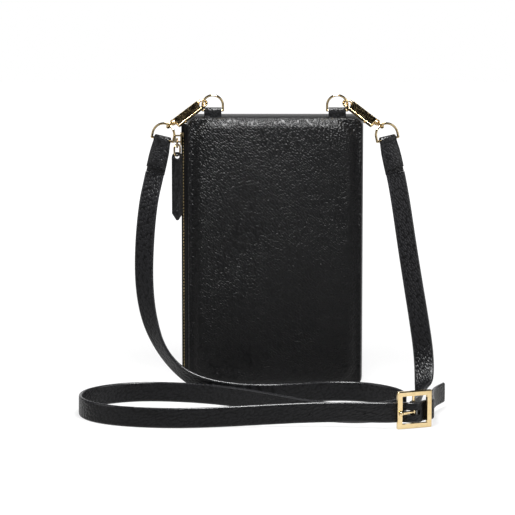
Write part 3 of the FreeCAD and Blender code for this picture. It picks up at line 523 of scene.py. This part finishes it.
def zip_tape(name, side):
    """One tape, from under the panel on its side to the teeth."""
    bends = UNDER_PANEL + (BACK_EDGE if side > 0 else FRONT_EDGE)
    bpy.ops.object.select_all(action="DESELECT")
    bpy.ops.mesh.primitive_plane_add(size=1)
    tape = bpy.context.object
    tape.name = name
    corners = [(bends[0], TAPE_FOOT), (bends[1], TAPE_FOOT), (bends[0], TAPE_HEAD), (bends[1], TAPE_HEAD)]
    for vertex, ((x, y), z) in zip(tape.data.vertices, corners):
        vertex.co = (x * MM, side * y * MM, z * MM)
    only(tape)
    bpy.ops.object.mode_set(mode="EDIT")
    bpy.ops.mesh.select_mode(type="EDGE")
    for (x0, y0), (x1, y1) in zip(bends[1:], bends[2:]):
        bpy.ops.mesh.select_all(action="DESELECT")
        bpy.ops.object.mode_set(mode="OBJECT")
        for edge in tape.data.edges:
            places = [tape.data.vertices[i].co for i in edge.vertices]
            edge.select = all(abs(p.x - x0 * MM) < 1e-5 and abs(abs(p.y) - y0 * MM) < 1e-5 for p in places)
        bpy.ops.object.mode_set(mode="EDIT")
        move = ((x1 - x0) * MM, side * (y1 - y0) * MM, 0)
        bpy.ops.mesh.extrude_region_move(TRANSFORM_OT_translate={"value": move})
    bpy.ops.object.mode_set(mode="OBJECT")
    use_modifier(tape, "SOLIDIFY", thickness=TAPE_THICK * MM, offset=0.0)
    outward(tape)
    smooth(tape, 50)
    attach(tape, "pouch")
    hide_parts(name.replace("woven", "zip"))
    print(name, len(tape.data.polygons), "faces")
    return tape


woven_tapes = [zip_tape("woven_tape_front", -1), zip_tape("woven_tape_back", 1)]

# %% [markdown]
# The ring tabs and the strap's ends are strips folded over a ring's bar. A strip's foot is a plane, extruded
# upwards, spun half a turn round the bar and extruded down again, then its edges are bevelled.
# It is made with the bar along X at the origin and then moved to its place with one matrix.

# %% Folded strips
RING_WIRE = 0.9
PINCH_LENGTH = 9 * MM
TAB_BAR = (-39.5, -4.0, 179.6)
TAB_DROP = 8.4


def folded_strip(name, width, leather, bar_radius, front_drop, back_drop, place, pinch=0.0):
    """Leather strip folded over a bar, its front layer on the side of minus Y.

    It is narrowed at the bar by the share named pinch.
    """
    middle = bar_radius + leather / 2
    layer = leather * 0.55
    neck = 2.0 * bar_radius
    bpy.ops.object.select_all(action="DESELECT")
    bpy.ops.mesh.primitive_plane_add(size=1, location=(0, -layer * MM, -front_drop * MM))
    strip = bpy.context.object
    strip.name = name
    only(strip)
    strip.data.transform(Matrix.Diagonal((width * MM, leather * MM, 1, 1)))
    strip.data.transform(Matrix.Translation(strip.location))
    strip.location = (0, 0, 0)
    bpy.ops.object.mode_set(mode="EDIT")
    bpy.ops.mesh.select_all(action="SELECT")
    rise = front_drop - neck
    for part in (0.4, 0.3, 0.3):
        bpy.ops.mesh.extrude_region_move(TRANSFORM_OT_translate={"value": (0, 0, rise * part * MM)})
    slide = (0, -(middle - layer) * MM, (front_drop - rise) * MM)
    bpy.ops.mesh.extrude_region_move(TRANSFORM_OT_translate={"value": slide})
    bpy.ops.mesh.spin(steps=10, angle=math.pi, center=(0, 0, 0), axis=(1, 0, 0))
    fall = (0, -(middle - layer) * MM, -neck * MM)
    bpy.ops.mesh.extrude_region_move(TRANSFORM_OT_translate={"value": fall})
    for part in (0.3, 0.3, 0.4):
        down = (back_drop - neck) * part * MM
        bpy.ops.mesh.extrude_region_move(TRANSFORM_OT_translate={"value": (0, 0, -down)})
    bpy.ops.mesh.select_all(action="SELECT")
    bpy.ops.mesh.remove_doubles(threshold=1e-6)
    bpy.ops.object.mode_set(mode="OBJECT")
    outward(strip)
    use_modifier(strip, "BEVEL", width=leather * 0.28 * MM, segments=2, limit_method="ANGLE",
                 angle_limit=math.radians(60))
    for vertex in strip.data.vertices:
        vertex.co.x *= 1 - pinch * min(max(1 + vertex.co.z / PINCH_LENGTH, 0), 1)
    strip.data.transform(place)
    smooth(strip, 45)
    return strip


for side, mirror in (("left", 1), ("right", -1)):
    place = Matrix.Translation(Vector((TAB_BAR[0] * mirror, TAB_BAR[1], TAB_BAR[2])) * MM)
    tab = folded_strip(f"{side}_leather_tab", width=11.0, leather=1.1, bar_radius=RING_WIRE,
                       front_drop=TAB_DROP, back_drop=TAB_DROP, place=place)
    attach(tab, "pouch")
    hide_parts(f"{side}_ring_tab")
    print(tab.name, len(tab.data.polygons), "faces")

# %% [markdown]
# The strap's ends fold over their rings towards the viewer, and a row of stitches holds the fold.
# They ride on the clasps, because the ring and the fold hang from the swivel and swing with it.

# %% Strap ends
END_BASE = Vector((-71.15, -17.55, 162.89)) * MM
END_DOWN = Vector((-0.22, -0.10, -0.97)).normalized()
END_X = Vector(LEFT_ACROSS)
END_X = (END_X - END_DOWN * END_X.dot(END_DOWN)).normalized()
END_Z = -END_DOWN
END_Y = END_Z.cross(END_X)
STRAP_FOLD = 22.0
FRONT_FOLD = 18.8


def strap_end_place(mirror):
    """Matrix that takes a strip folded over a bar along X to a strap's end."""
    axes = [Vector((v.x * mirror, v.y, v.z)) for v in (END_X * mirror, END_Y, END_Z)]
    place = Matrix((axes[0], axes[1], axes[2])).transposed().to_4x4()
    place.translation = Vector((END_BASE.x * mirror, END_BASE.y, END_BASE.z))
    return place


folds = {}
for side, mirror in (("left", 1), ("right", -1)):
    fold = folded_strip(f"{side}_strap_fold", width=12.4, leather=1.5, bar_radius=RING_WIRE,
                        front_drop=FRONT_FOLD, back_drop=STRAP_FOLD, place=strap_end_place(mirror),
                        pinch=0.16)
    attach(fold, f"{side}_clasp")
    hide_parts(f"{side}_strap_end")
    folds[side] = fold
    print(fold.name, len(fold.data.polygons), "faces")

# %% [markdown]
# The zip's pull is a slim leather tab, rounded on top and pointed below, with a groove down its middle.
# Its outline is filled and extruded. The hole for its ring and a groove on each face are cut, then the edges
# are bevelled.

# %% Pull tab
PULL_X, PULL_HOLE = -62.3, 148.9
PULL_HALF, PULL_THICK = 3.5, 1.8
PULL_LENGTH, PULL_POINT = 44.0, 4.5
EYE_PLACE = (0, 0, 0.6 * MM)
EYE_RADIUS, EYE_DEPTH = 1.4 * MM, 8 * MM
GROOVE_Z = -0.0195
GROOVE_SIZE = (0.0009, 0.0008, 0.0300)


def pull_outline():
    """The tab's outline round from the top of its right side, with the hole's middle at the origin."""
    foot = PULL_HALF - PULL_LENGTH
    outline = []
    for step in range(17):
        turn = math.radians(180 * step / 16)
        outline.append((PULL_HALF * math.cos(turn), PULL_HALF * math.sin(turn)))
    outline += [(-PULL_HALF, foot + PULL_POINT), (-PULL_HALF * 0.2, foot), (PULL_HALF * 0.2, foot)]
    outline.append((PULL_HALF, foot + PULL_POINT))
    return outline


def make_pull_tab():
    vertices = [(x * MM, -PULL_THICK / 2 * MM, z * MM) for x, z in pull_outline()]
    mesh = bpy.data.meshes.new("leather_pull")
    mesh.from_pydata(vertices, [], [list(range(len(vertices)))])
    tab = bpy.data.objects.new("leather_pull", mesh)
    bpy.context.collection.objects.link(tab)
    only(tab)
    bpy.ops.object.mode_set(mode="EDIT")
    bpy.ops.mesh.select_all(action="SELECT")
    bpy.ops.mesh.extrude_region_move(TRANSFORM_OT_translate={"value": (0, PULL_THICK * MM, 0)})
    bpy.ops.object.mode_set(mode="OBJECT")
    outward(tab)
    punch_hole(tab, EYE_PLACE, EYE_RADIUS, EYE_DEPTH, sides=32)
    for way in (-1, 1):
        punch_box(tab, (0, way * PULL_THICK / 2 * MM, GROOVE_Z), GROOVE_SIZE)
    use_modifier(tab, "BEVEL", width=0.3 * MM, segments=2, limit_method="ANGLE", angle_limit=math.radians(40))
    tab.data.transform(Matrix.Translation(Vector((PULL_X, 0, PULL_HOLE)) * MM))
    smooth(tab, 40)
    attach(tab, "pull_tab")
    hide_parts("zip_pull_tab")
    return tab


leather_pull = make_pull_tab()
print("pull tab", len(leather_pull.data.polygons), "faces")

# %% [markdown]
# The short strap ends in a loop of thinner leather round the buckle's middle bar, slotted for the prong.
# It is the same folded strip, laid on its side: its bar stands upright and its layers run backwards.

# %% Buckle loop
LOOP_TURN = math.radians(-6)
LOOP_DROP = 9.0
BUCKLE_BAR = Vector((83.52, -119.68, 10.0)) * MM
BUCKLE_BAR_RADIUS = 1.05
LOOP_SLOT_PLACE = (0.08352, -0.1214, 0.0100)
LOOP_SLOT_SIZE = (0.011, 0.0075, 0.0038)
LAID_ON_SIDE = Matrix(((0, -1, 0, 0), (0, 0, -1, 0), (1, 0, 0, 0), (0, 0, 0, 1)))
loop_place = Matrix.Translation(BUCKLE_BAR) @ Matrix.Rotation(LOOP_TURN, 4, "Z") @ LAID_ON_SIDE
buckle_fold = folded_strip("buckle_fold", width=12.6, leather=1.2, bar_radius=BUCKLE_BAR_RADIUS,
                           front_drop=LOOP_DROP, back_drop=LOOP_DROP, place=loop_place)
punch_box(buckle_fold, LOOP_SLOT_PLACE, LOOP_SLOT_SIZE)
smooth(buckle_fold, 45)
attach(buckle_fold, "pouch")
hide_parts("buckle_loop")
print("buckle loop", len(buckle_fold.data.polygons), "faces")

# %% [markdown]
# Stitches are short rounded lengths of thread lying half sunk in the leather. One is modelled from a small
# cylinder with its ends drawn in, and copied along each seam into one mesh per seam.

# %% Stitches
THREAD = 0.55
STITCH_LENGTH, STITCH_PITCH = 2.1, 2.7
STITCH_LIFT = 0.12
STITCH_WAY = Vector((0.12, 0, 1))
SEAM_ENDS = 10
FOLD_STITCHES = 4
FOLD_STITCH_Y, FOLD_STITCH_RISE = -1.62, 1.4


def one_stitch():
    """A stitch along Z at the origin, as points and faces."""
    bpy.ops.object.select_all(action="DESELECT")
    bpy.ops.mesh.primitive_cylinder_add(vertices=8, radius=THREAD / 2 * MM, depth=STITCH_LENGTH * 0.6 * MM)
    thread = bpy.context.object
    only(thread)
    bpy.ops.object.mode_set(mode="EDIT")
    bpy.ops.mesh.select_mode(type="FACE")
    for way in (-1, 1):
        bpy.ops.mesh.select_all(action="DESELECT")
        bpy.ops.object.mode_set(mode="OBJECT")
        for face in thread.data.polygons:
            face.select = face.normal.z * way > 0.9
        bpy.ops.object.mode_set(mode="EDIT")
        end = (0, 0, way * STITCH_LENGTH * 0.2 * MM)
        bpy.ops.mesh.extrude_region_move(TRANSFORM_OT_translate={"value": end})
        bpy.ops.transform.resize(value=(0.55, 0.55, 1))
    bpy.ops.object.mode_set(mode="OBJECT")
    points = [v.co.copy() for v in thread.data.vertices]
    faces = [list(f.vertices) for f in thread.data.polygons]
    bpy.data.objects.remove(thread)
    return points, faces


STITCH = one_stitch()


def stitch_row(name, placings):
    """One mesh of stitches, each given by its middle, the way it runs and the way out of the leather."""
    points, faces = STITCH
    vertices = []
    polygons = []
    for middle, way, out in placings:
        z_axis = way.normalized()
        y_axis = (out - z_axis * out.dot(z_axis)).normalized()
        turn = Matrix((y_axis.cross(z_axis), y_axis, z_axis)).transposed()
        base = len(vertices)
        vertices += [middle + turn @ p for p in points]
        polygons += [[base + i for i in face] for face in faces]
    mesh = bpy.data.meshes.new(name)
    mesh.from_pydata(vertices, [], polygons)
    row = bpy.data.objects.new(name, mesh)
    bpy.context.collection.objects.link(row)
    outward(row)
    return smooth(row, 60)


def side_seams(name, side, crown):
    """Stitches down both sides of a panel, sunk in its sewing groove."""
    placings = []
    count = int((2 * FACE_HALF_Z - SEAM_ENDS) / STITCH_PITCH)
    for x in (-FACE_HALF_X + SEAM_FROM_EDGE, FACE_HALF_X - SEAM_FROM_EDGE):
        for number in range(count):
            z = (number - (count - 1) / 2) * STITCH_PITCH
            y = side * (SEAT + panel_height(x, z, crown) + STITCH_LIFT)
            middle = Vector((x, y, z + PANEL_TALL / 2)) * MM
            placings.append((middle, STITCH_WAY, Vector((0, side, 0))))
    row = stitch_row(name, placings)
    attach(row, "pouch")
    print(name, len(placings), "stitches")
    return row


threads = [side_seams("front_stitching", -1, FRONT_CROWN), side_seams("back_stitching", 1, BACK_CROWN)]


def fold_stitches(side, mirror):
    """A row of stitches across a strap's fold, just above the end of its front layer."""
    place = strap_end_place(mirror)
    out = place.to_3x3() @ Vector((0, -1, 0))
    placings = []
    for number in range(FOLD_STITCHES):
        from_middle = number - (FOLD_STITCHES - 1) / 2
        local = Vector((from_middle * STITCH_PITCH, FOLD_STITCH_Y, FOLD_STITCH_RISE - FRONT_FOLD))
        placings.append((place @ (local * MM), place.to_3x3() @ Vector((1, 0, 0)), out))
    row = stitch_row(f"{side}_fold_stitching", placings)
    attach(row, f"{side}_clasp")
    return row


threads += [fold_stitches("left", 1), fold_stitches("right", -1)]
print(len(threads), "rows of stitches")

# %% [markdown]
# Every colour is written as an sRGB hex value, as read off a screen, and one function turns it to linear.
# A second function adds any shader node with its settings and links. The three after it add the commonest
# nodes: a sum, a ramp from one range to another, and a mix of two numbers or two colours.


# %% Colour and node helpers
def hex_colour(text):
    """Linear RGBA of an sRGB hex colour."""
    channels = [int(text[i:i + 2], 16) / 255 for i in (1, 3, 5)]
    linear = [c / 12.92 if c <= 0.04045 else ((c + 0.055) / 1.055) ** 2.4 for c in channels]
    return (*linear, 1.0)


def add_node(tree, kind, inputs=None, **settings):
    """One shader node with its settings, its values and its links."""
    made = tree.nodes.new(kind)
    for setting, value in settings.items():
        setattr(made, setting, value)
    for socket, value in (inputs or {}).items():
        if isinstance(value, bpy.types.NodeSocket):
            tree.links.new(value, made.inputs[socket])
        else:
            made.inputs[socket].default_value = value
    return made


def maths(tree, operation, *values):
    """Output of a Math node over links or numbers."""
    return add_node(tree, "ShaderNodeMath", dict(enumerate(values)), operation=operation).outputs["Value"]


def ramp(tree, value, source, target):
    """Output of a node that takes one range of values to another."""
    ends = {"From Min": source[0], "From Max": source[1], "To Min": target[0], "To Max": target[1]}
    return add_node(tree, "ShaderNodeMapRange", {"Value": value, **ends}).outputs["Result"]


def mixed(tree, kind, factor, first, second):
    """Output of a mix of two values, the second where the factor is one."""
    return add_node(tree, "ShaderNodeMix", {"Factor": factor, "A": first, "B": second},
                    data_type=kind).outputs["Result"]


def new_material(name, **constants):
    """A material with its shader, its constant values set on the shader's own sockets."""
    material = bpy.data.materials.new(name)
    material.use_nodes = True
    tree = material.node_tree
    shader = tree.nodes["Principled BSDF"]
    for socket, value in constants.items():
        shader.inputs[socket.replace("_", " ")].default_value = value
    return material, tree, shader


def dress(obj, material):
    obj.data.materials.clear()
    obj.data.materials.append(material)


# %% [markdown]
# The leather is cowhide pressed with a pebble grain: small domes a little over a millimetre wide, about half
# as long again along a slant, parted by creases. The domes' tops are rubbed smoother than the creases,
# and the creases are coloured darker than the tops as painted shade.
# They come from a Voronoi pattern, sized in metres, whose distance is squared to round them. A broad noise
# bends their rows, and a fine one adds the pores.

# %% Pebbled leather
WANDER, WANDER_SIZE = 0.8 * MM, 6 * MM
CELL_RANDOMNESS = 0.7
CREASE_AT = 0.42
PORE_SIZE, PORE_SHARE = 0.6 * MM, 0.04
CREASE_ROUGH, TOP_ROUGH = 0.34, 0.27


def pebbled_leather(name, source, turn, black_and_crease_shade, cell_mm, stretch, depth_mm, shine):
    """Leather whose grain is pressed in cells, turned and stretched in the coordinates it is given."""
    material, tree, shader = new_material(name, IOR=1.5, Specular_IOR_Level=shine)
    coords = add_node(tree, "ShaderNodeTexCoord")
    mapping = add_node(tree, "ShaderNodeMapping", {"Vector": coords.outputs[source], "Rotation": turn,
                                                   "Scale": (stretch, 1, 1)}, vector_type="TEXTURE")
    wobble = add_node(tree, "ShaderNodeTexNoise", {"Vector": mapping.outputs["Vector"],
                                                   "Scale": 1 / WANDER_SIZE, "Detail": 2.0})
    bend = add_node(tree, "ShaderNodeVectorMath", {0: wobble.outputs["Color"], 1: (WANDER,) * 3},
                    operation="MULTIPLY")
    place = add_node(tree, "ShaderNodeVectorMath", {0: mapping.outputs["Vector"], 1: bend.outputs["Vector"]},
                     operation="ADD")
    cells = add_node(tree, "ShaderNodeTexVoronoi", {"Vector": place.outputs["Vector"],
                                                    "Scale": 1 / (cell_mm * MM),
                                                    "Randomness": CELL_RANDOMNESS})
    dome = maths(tree, "POWER", cells.outputs["Distance"], 2.0)
    tops = ramp(tree, dome, (CREASE_AT, 0.0), (0.0, 1.0))
    pores = add_node(tree, "ShaderNodeTexNoise", {"Vector": place.outputs["Vector"], "Scale": 1 / PORE_SIZE,
                                                  "Detail": 3.0})
    fine = maths(tree, "MULTIPLY", pores.outputs["Fac"], PORE_SHARE)
    height = maths(tree, "ADD", tops, fine)
    bump = add_node(tree, "ShaderNodeBump", {"Height": height, "Strength": 1.0, "Distance": depth_mm * MM})
    # Painted shade: the creases take the second, darker colour and the domes' tops take the first.
    tone = mixed(tree, "RGBA", tops, hex_colour(black_and_crease_shade[1]), hex_colour(black_and_crease_shade[0]))
    gloss = ramp(tree, tops, (0.0, 1.0), (CREASE_ROUGH, TOP_ROUGH))
    tree.links.new(tone, shader.inputs["Base Color"])
    tree.links.new(gloss, shader.inputs["Roughness"])
    tree.links.new(bump.outputs["Normal"], shader.inputs["Normal"])
    return material


SLANT = (0, math.radians(38), 0)
BAND_SLANT = (0, 0, math.radians(24))
# Each pair is the leather's black on the domes' tops, then a darker colour painted into the creases as shade.
PANEL_BLACK_AND_CREASE_SHADE = ("#0a0a0b", "#030304")
STRAP_BLACK_AND_CREASE_SHADE = ("#1d1d1f", "#0b0b0c")
panel_leather = pebbled_leather("pebbled_cowhide", "Object", SLANT, PANEL_BLACK_AND_CREASE_SHADE,
                                cell_mm=1.2, stretch=1.6, depth_mm=0.30, shine=0.32)
gusset_cowhide = pebbled_leather("gusset_cowhide", "Object", SLANT, PANEL_BLACK_AND_CREASE_SHADE,
                                 cell_mm=1.4, stretch=1.4, depth_mm=0.06, shine=0.40)
strap_leather = pebbled_leather("strap_cowhide", "UV", BAND_SLANT, STRAP_BLACK_AND_CREASE_SHADE,
                                cell_mm=1.4, stretch=1.8, depth_mm=0.26, shine=0.24)
trim_leather = pebbled_leather("trim_cowhide", "Object", SLANT, STRAP_BLACK_AND_CREASE_SHADE,
                               cell_mm=1.4, stretch=1.5, depth_mm=0.20, shine=0.40)
for piece in (front_leather, back_leather):
    dress(piece, panel_leather)
dress(gusset_leather, gusset_cowhide)
for piece in [leather_pull, buckle_fold, *folds.values()]:
    dress(piece, trim_leather)
for side in ("left", "right"):
    dress(bpy.data.objects[f"{side}_leather_tab"], trim_leather)
print("leathers set")

# %% [markdown]
# The strap's round edges are sealed with edge paint, rubbed smooth. It is glossier than the grain,
# so an edge that faces up draws a thin light line along the whole strap.

# %% Painted edges
edge_paint, edge_tree, edge_shader = new_material("edge_paint", IOR=1.5, Specular_IOR_Level=0.5)
edge_coords = add_node(edge_tree, "ShaderNodeTexCoord")
edge_streaks = add_node(edge_tree, "ShaderNodeTexNoise", {"Vector": edge_coords.outputs["Object"],
                                                          "Scale": 1 / (4 * MM), "Detail": 3.0})
edge_gloss = ramp(edge_tree, edge_streaks.outputs["Fac"], (0.0, 1.0), (0.18, 0.34))
edge_bump = add_node(edge_tree, "ShaderNodeBump", {"Height": edge_streaks.outputs["Fac"], "Strength": 0.3,
                                                   "Distance": 0.1 * MM})
edge_shader.inputs["Base Color"].default_value = hex_colour("#1e1e20")
edge_tree.links.new(edge_gloss, edge_shader.inputs["Roughness"])
edge_tree.links.new(edge_bump.outputs["Normal"], edge_shader.inputs["Normal"])
for strap in (long_strap, short_strap):
    strap.data.materials[0] = strap_leather
    strap.data.materials[1] = edge_paint
print("strap edges painted")

# %% [markdown]
# Zip tape is a polyester twill with ribs about 0.7 mm apart. A turned wave gives its slanting ribs.
# The lining is a plain black weave, and the thread is bonded polyester with a soft shine.
# A wave of scale 1 has its ribs 0.314 m apart, which sets the scale for a rib in millimetres.

# %% Cloth and thread
WAVE_UNIT = 0.314


def ribbed_cloth(name, rib_mm, light, dark, turn, rough):
    """Cloth or thread with ribs, turned about X by so many degrees."""
    material, tree, shader = new_material(name, Roughness=rough, IOR=1.5, Specular_IOR_Level=0.15)
    coords = add_node(tree, "ShaderNodeTexCoord")
    mapping = add_node(tree, "ShaderNodeMapping", {"Vector": coords.outputs["Object"],
                                                   "Rotation": (math.radians(turn), 0, 0)})
    ribs = add_node(tree, "ShaderNodeTexWave", {"Vector": mapping.outputs["Vector"],
                                                "Scale": WAVE_UNIT / (rib_mm * MM), "Distortion": 1.5,
                                                "Detail": 1.0}, bands_direction="Z")
    tone = mixed(tree, "RGBA", ribs.outputs["Fac"], hex_colour(dark), hex_colour(light))
    bump = add_node(tree, "ShaderNodeBump", {"Height": ribs.outputs["Fac"], "Strength": 0.6,
                                             "Distance": 0.12 * MM})
    tree.links.new(tone, shader.inputs["Base Color"])
    tree.links.new(bump.outputs["Normal"], shader.inputs["Normal"])
    return material


tape_twill = ribbed_cloth("polyester_twill", 0.7, "#141416", "#08080a", 40, 0.75)
lining_weave = ribbed_cloth("lining_weave", 0.5, "#1f1f22", "#121214", 0, 0.8)
bonded_thread = ribbed_cloth("bonded_thread", 0.35, "#1d1d1f", "#0e0e0f", 30, 0.5)
for tape in woven_tapes:
    dress(tape, tape_twill)
for row in threads:
    dress(row, bonded_thread)

# %% [markdown]
# The fittings are zinc castings plated with pale gold and polished. The plating is a mirror with faint
# cloudiness, so its roughness wanders a little, and thin wear shows as slightly warmer spots.
# The zip's teeth are bare drawn brass, which is darker and less polished.


# %% Pale gold and steel
def plated_metal(name, bright, warm, low, high):
    """Metal whose tone wanders between two colours and its roughness between two limits."""
    material, tree, shader = new_material(name, Metallic=1.0)
    coords = add_node(tree, "ShaderNodeTexCoord")
    cloud = add_node(tree, "ShaderNodeTexNoise", {"Vector": coords.outputs["Object"], "Scale": 1 / (3 * MM),
                                                  "Detail": 4.0})
    tone = mixed(tree, "RGBA", cloud.outputs["Fac"], hex_colour(bright), hex_colour(warm))
    gloss = ramp(tree, cloud.outputs["Fac"], (0.3, 0.7), (low, high))
    tree.links.new(tone, shader.inputs["Base Color"])
    tree.links.new(gloss, shader.inputs["Roughness"])
    return material


pale_gold = plated_metal("polished_pale_gold", "#efdaae", "#d8ba84", 0.06, 0.14)
zip_brass = plated_metal("drawn_brass", "#e6d3a4", "#c9b07c", 0.38, 0.5)
spring_steel = plated_metal("spring_steel", "#c9c9c7", "#a9a9a8", 0.2, 0.32)
GOLD_WORDS = ("ring", "clasp_body", "clasp_gate", "clasp_swivel", "gate_pin", "zip_slider", "buckle_frame",
              "buckle_prong")
for name, obj in nodes.items():
    if "gate_spring" in name:
        finish = spring_steel
    elif "lining" in name:
        finish = lining_weave
    elif "zip_teeth" in name or "bottom_stop" in name:
        finish = zip_brass
    elif any(word in name for word in GOLD_WORDS) and "tab" not in name.replace("tab_ring", ""):
        finish = pale_gold
    else:
        finish = trim_leather
    for number in range(len(obj.data.materials)):
        obj.data.materials[number] = finish
print("metals set")

# %% [markdown]
# The light is a small soft box close above and in front, a wider one high up behind, and weak ones at the
# sides. What the metal mirrors is a painted reflection, a world that only mirrors see: bright only low
# behind, dark in front, above and at the sides. That painted darkness is why the clasps' flat faces mirror
# black between bright edges.
# The floor is paper that photographs white and keeps the soft shadow under the strap. In mirrors it shows a
# painted reflection: dark in front and grey further back, with one patch before the buckle that glows white
# only for mirrors and makes the buckle's face pale.

# %% Floor, world and lights
FLOOR_SIZE = 3.4
# Place of a patch of floor that glows only for mirrors, a painted reflection on the buckle's face.
PAINTED_CARD_PLACE = (0.085, -0.20, 0)
ROOM_LIGHT = 0.45
WHITE = (1, 1, 1, 1)
bpy.ops.object.select_all(action="DESELECT")
bpy.ops.mesh.primitive_plane_add(size=FLOOR_SIZE, location=(0, 0, 0))
floor = bpy.context.object
floor.name = "studio_floor"
paper, paper_tree, paper_shader = new_material("white_paper", Roughness=0.9, Specular_IOR_Level=0.0)
paper_shader.inputs["Base Color"].default_value = hex_colour("#7d7d7d")
paper_shader.inputs["Emission Color"].default_value = WHITE
rays = add_node(paper_tree, "ShaderNodeLightPath").outputs
seen = maths(paper_tree, "MAXIMUM", rays["Is Camera Ray"], rays["Is Glossy Ray"])
seen = maths(paper_tree, "MAXIMUM", seen, rays["Is Transmission Ray"])
spot = add_node(paper_tree, "ShaderNodeTexCoord").outputs["Object"]
reach = add_node(paper_tree, "ShaderNodeVectorMath", {0: spot}, operation="LENGTH")
photographed = ramp(paper_tree, reach.outputs["Value"], (0.25, 0.7), (0.74, 1.0))
# Painted reflection: the floor before the buckle glows white only in mirrors, which paints the buckle's face
# pale.
to_painted_card = add_node(paper_tree, "ShaderNodeVectorMath", {0: spot, 1: PAINTED_CARD_PLACE}, operation="DISTANCE")
painted_card_glow = ramp(paper_tree, to_painted_card.outputs["Value"], (0.07, 0.13), (0.75, 0.0))
# Painted reflection: mirrors see the floor dark far in front and grey nearer the pouch.
spot_split = add_node(paper_tree, "ShaderNodeSeparateXYZ", {"Vector": spot})
painted_floor_level = ramp(paper_tree, spot_split.outputs["Y"], (-0.28, -0.18), (0.05, 0.36))
painted_floor_reflection = maths(paper_tree, "MAXIMUM", painted_card_glow, painted_floor_level)
shown = mixed(paper_tree, "FLOAT", rays["Is Glossy Ray"], photographed, painted_floor_reflection)
glow = maths(paper_tree, "MULTIPLY", seen, shown)
paper_tree.links.new(glow, paper_shader.inputs["Emission Strength"])
dress(floor, paper)

world = bpy.data.worlds.new("studio")
bpy.context.scene.world = world
world.use_nodes = True
sky = world.node_tree
backdrop = sky.nodes["Background"]
backdrop.inputs["Color"].default_value = WHITE
sky_rays = add_node(sky, "ShaderNodeLightPath").outputs
sky_coords = add_node(sky, "ShaderNodeTexCoord")
sky_way = add_node(sky, "ShaderNodeSeparateXYZ", {"Vector": sky_coords.outputs["Generated"]}).outputs
# Painted reflection: mirrors see the world dark above, at both sides and in front, and bright only low
# behind.
painted_dark_above = ramp(sky, sky_way["Z"], (0.3, 0.55), (1.0, 0.04))
aside = maths(sky, "ABSOLUTE", sky_way["X"])
painted_dark_sides = ramp(sky, aside, (0.35, 0.65), (1.0, 0.06))
painted_bright_behind = ramp(sky, sky_way["Y"], (-0.1, 0.3), (0.05, 0.9))
painted_reflection_room = maths(sky, "MULTIPLY", painted_dark_above, painted_dark_sides)
painted_reflection_room = maths(sky, "MULTIPLY", painted_reflection_room, painted_bright_behind)
sky_seen = maths(sky, "MAXIMUM", sky_rays["Is Glossy Ray"], sky_rays["Is Transmission Ray"])
ambient = mixed(sky, "FLOAT", sky_seen, ROOM_LIGHT, painted_reflection_room)
level = mixed(sky, "FLOAT", sky_rays["Is Camera Ray"], ambient, 1.0)
sky.links.new(level, backdrop.inputs["Strength"])

LAMP_AIM = Vector((0, -0.03, 0.09))
LAMPS = [("key", (0, -0.20, 0.41), 0.15, 2.8), ("overhead", (0, 0.32, 1.15), 0.5, 6),
         ("right", (1.1, -0.5, 0.5), 0.7, 3), ("left", (-1.1, -0.4, 0.5), 0.7, 2)]
for name, place, width, power in LAMPS:
    bpy.ops.object.light_add(type="AREA", location=place)
    lamp = bpy.context.object
    lamp.name = f"{name}_box"
    lamp.data.size = width
    lamp.data.energy = power
    lamp.rotation_euler = (LAMP_AIM - Vector(place)).to_track_quat("-Z", "Y").to_euler()
print(len(LAMPS), "soft boxes")
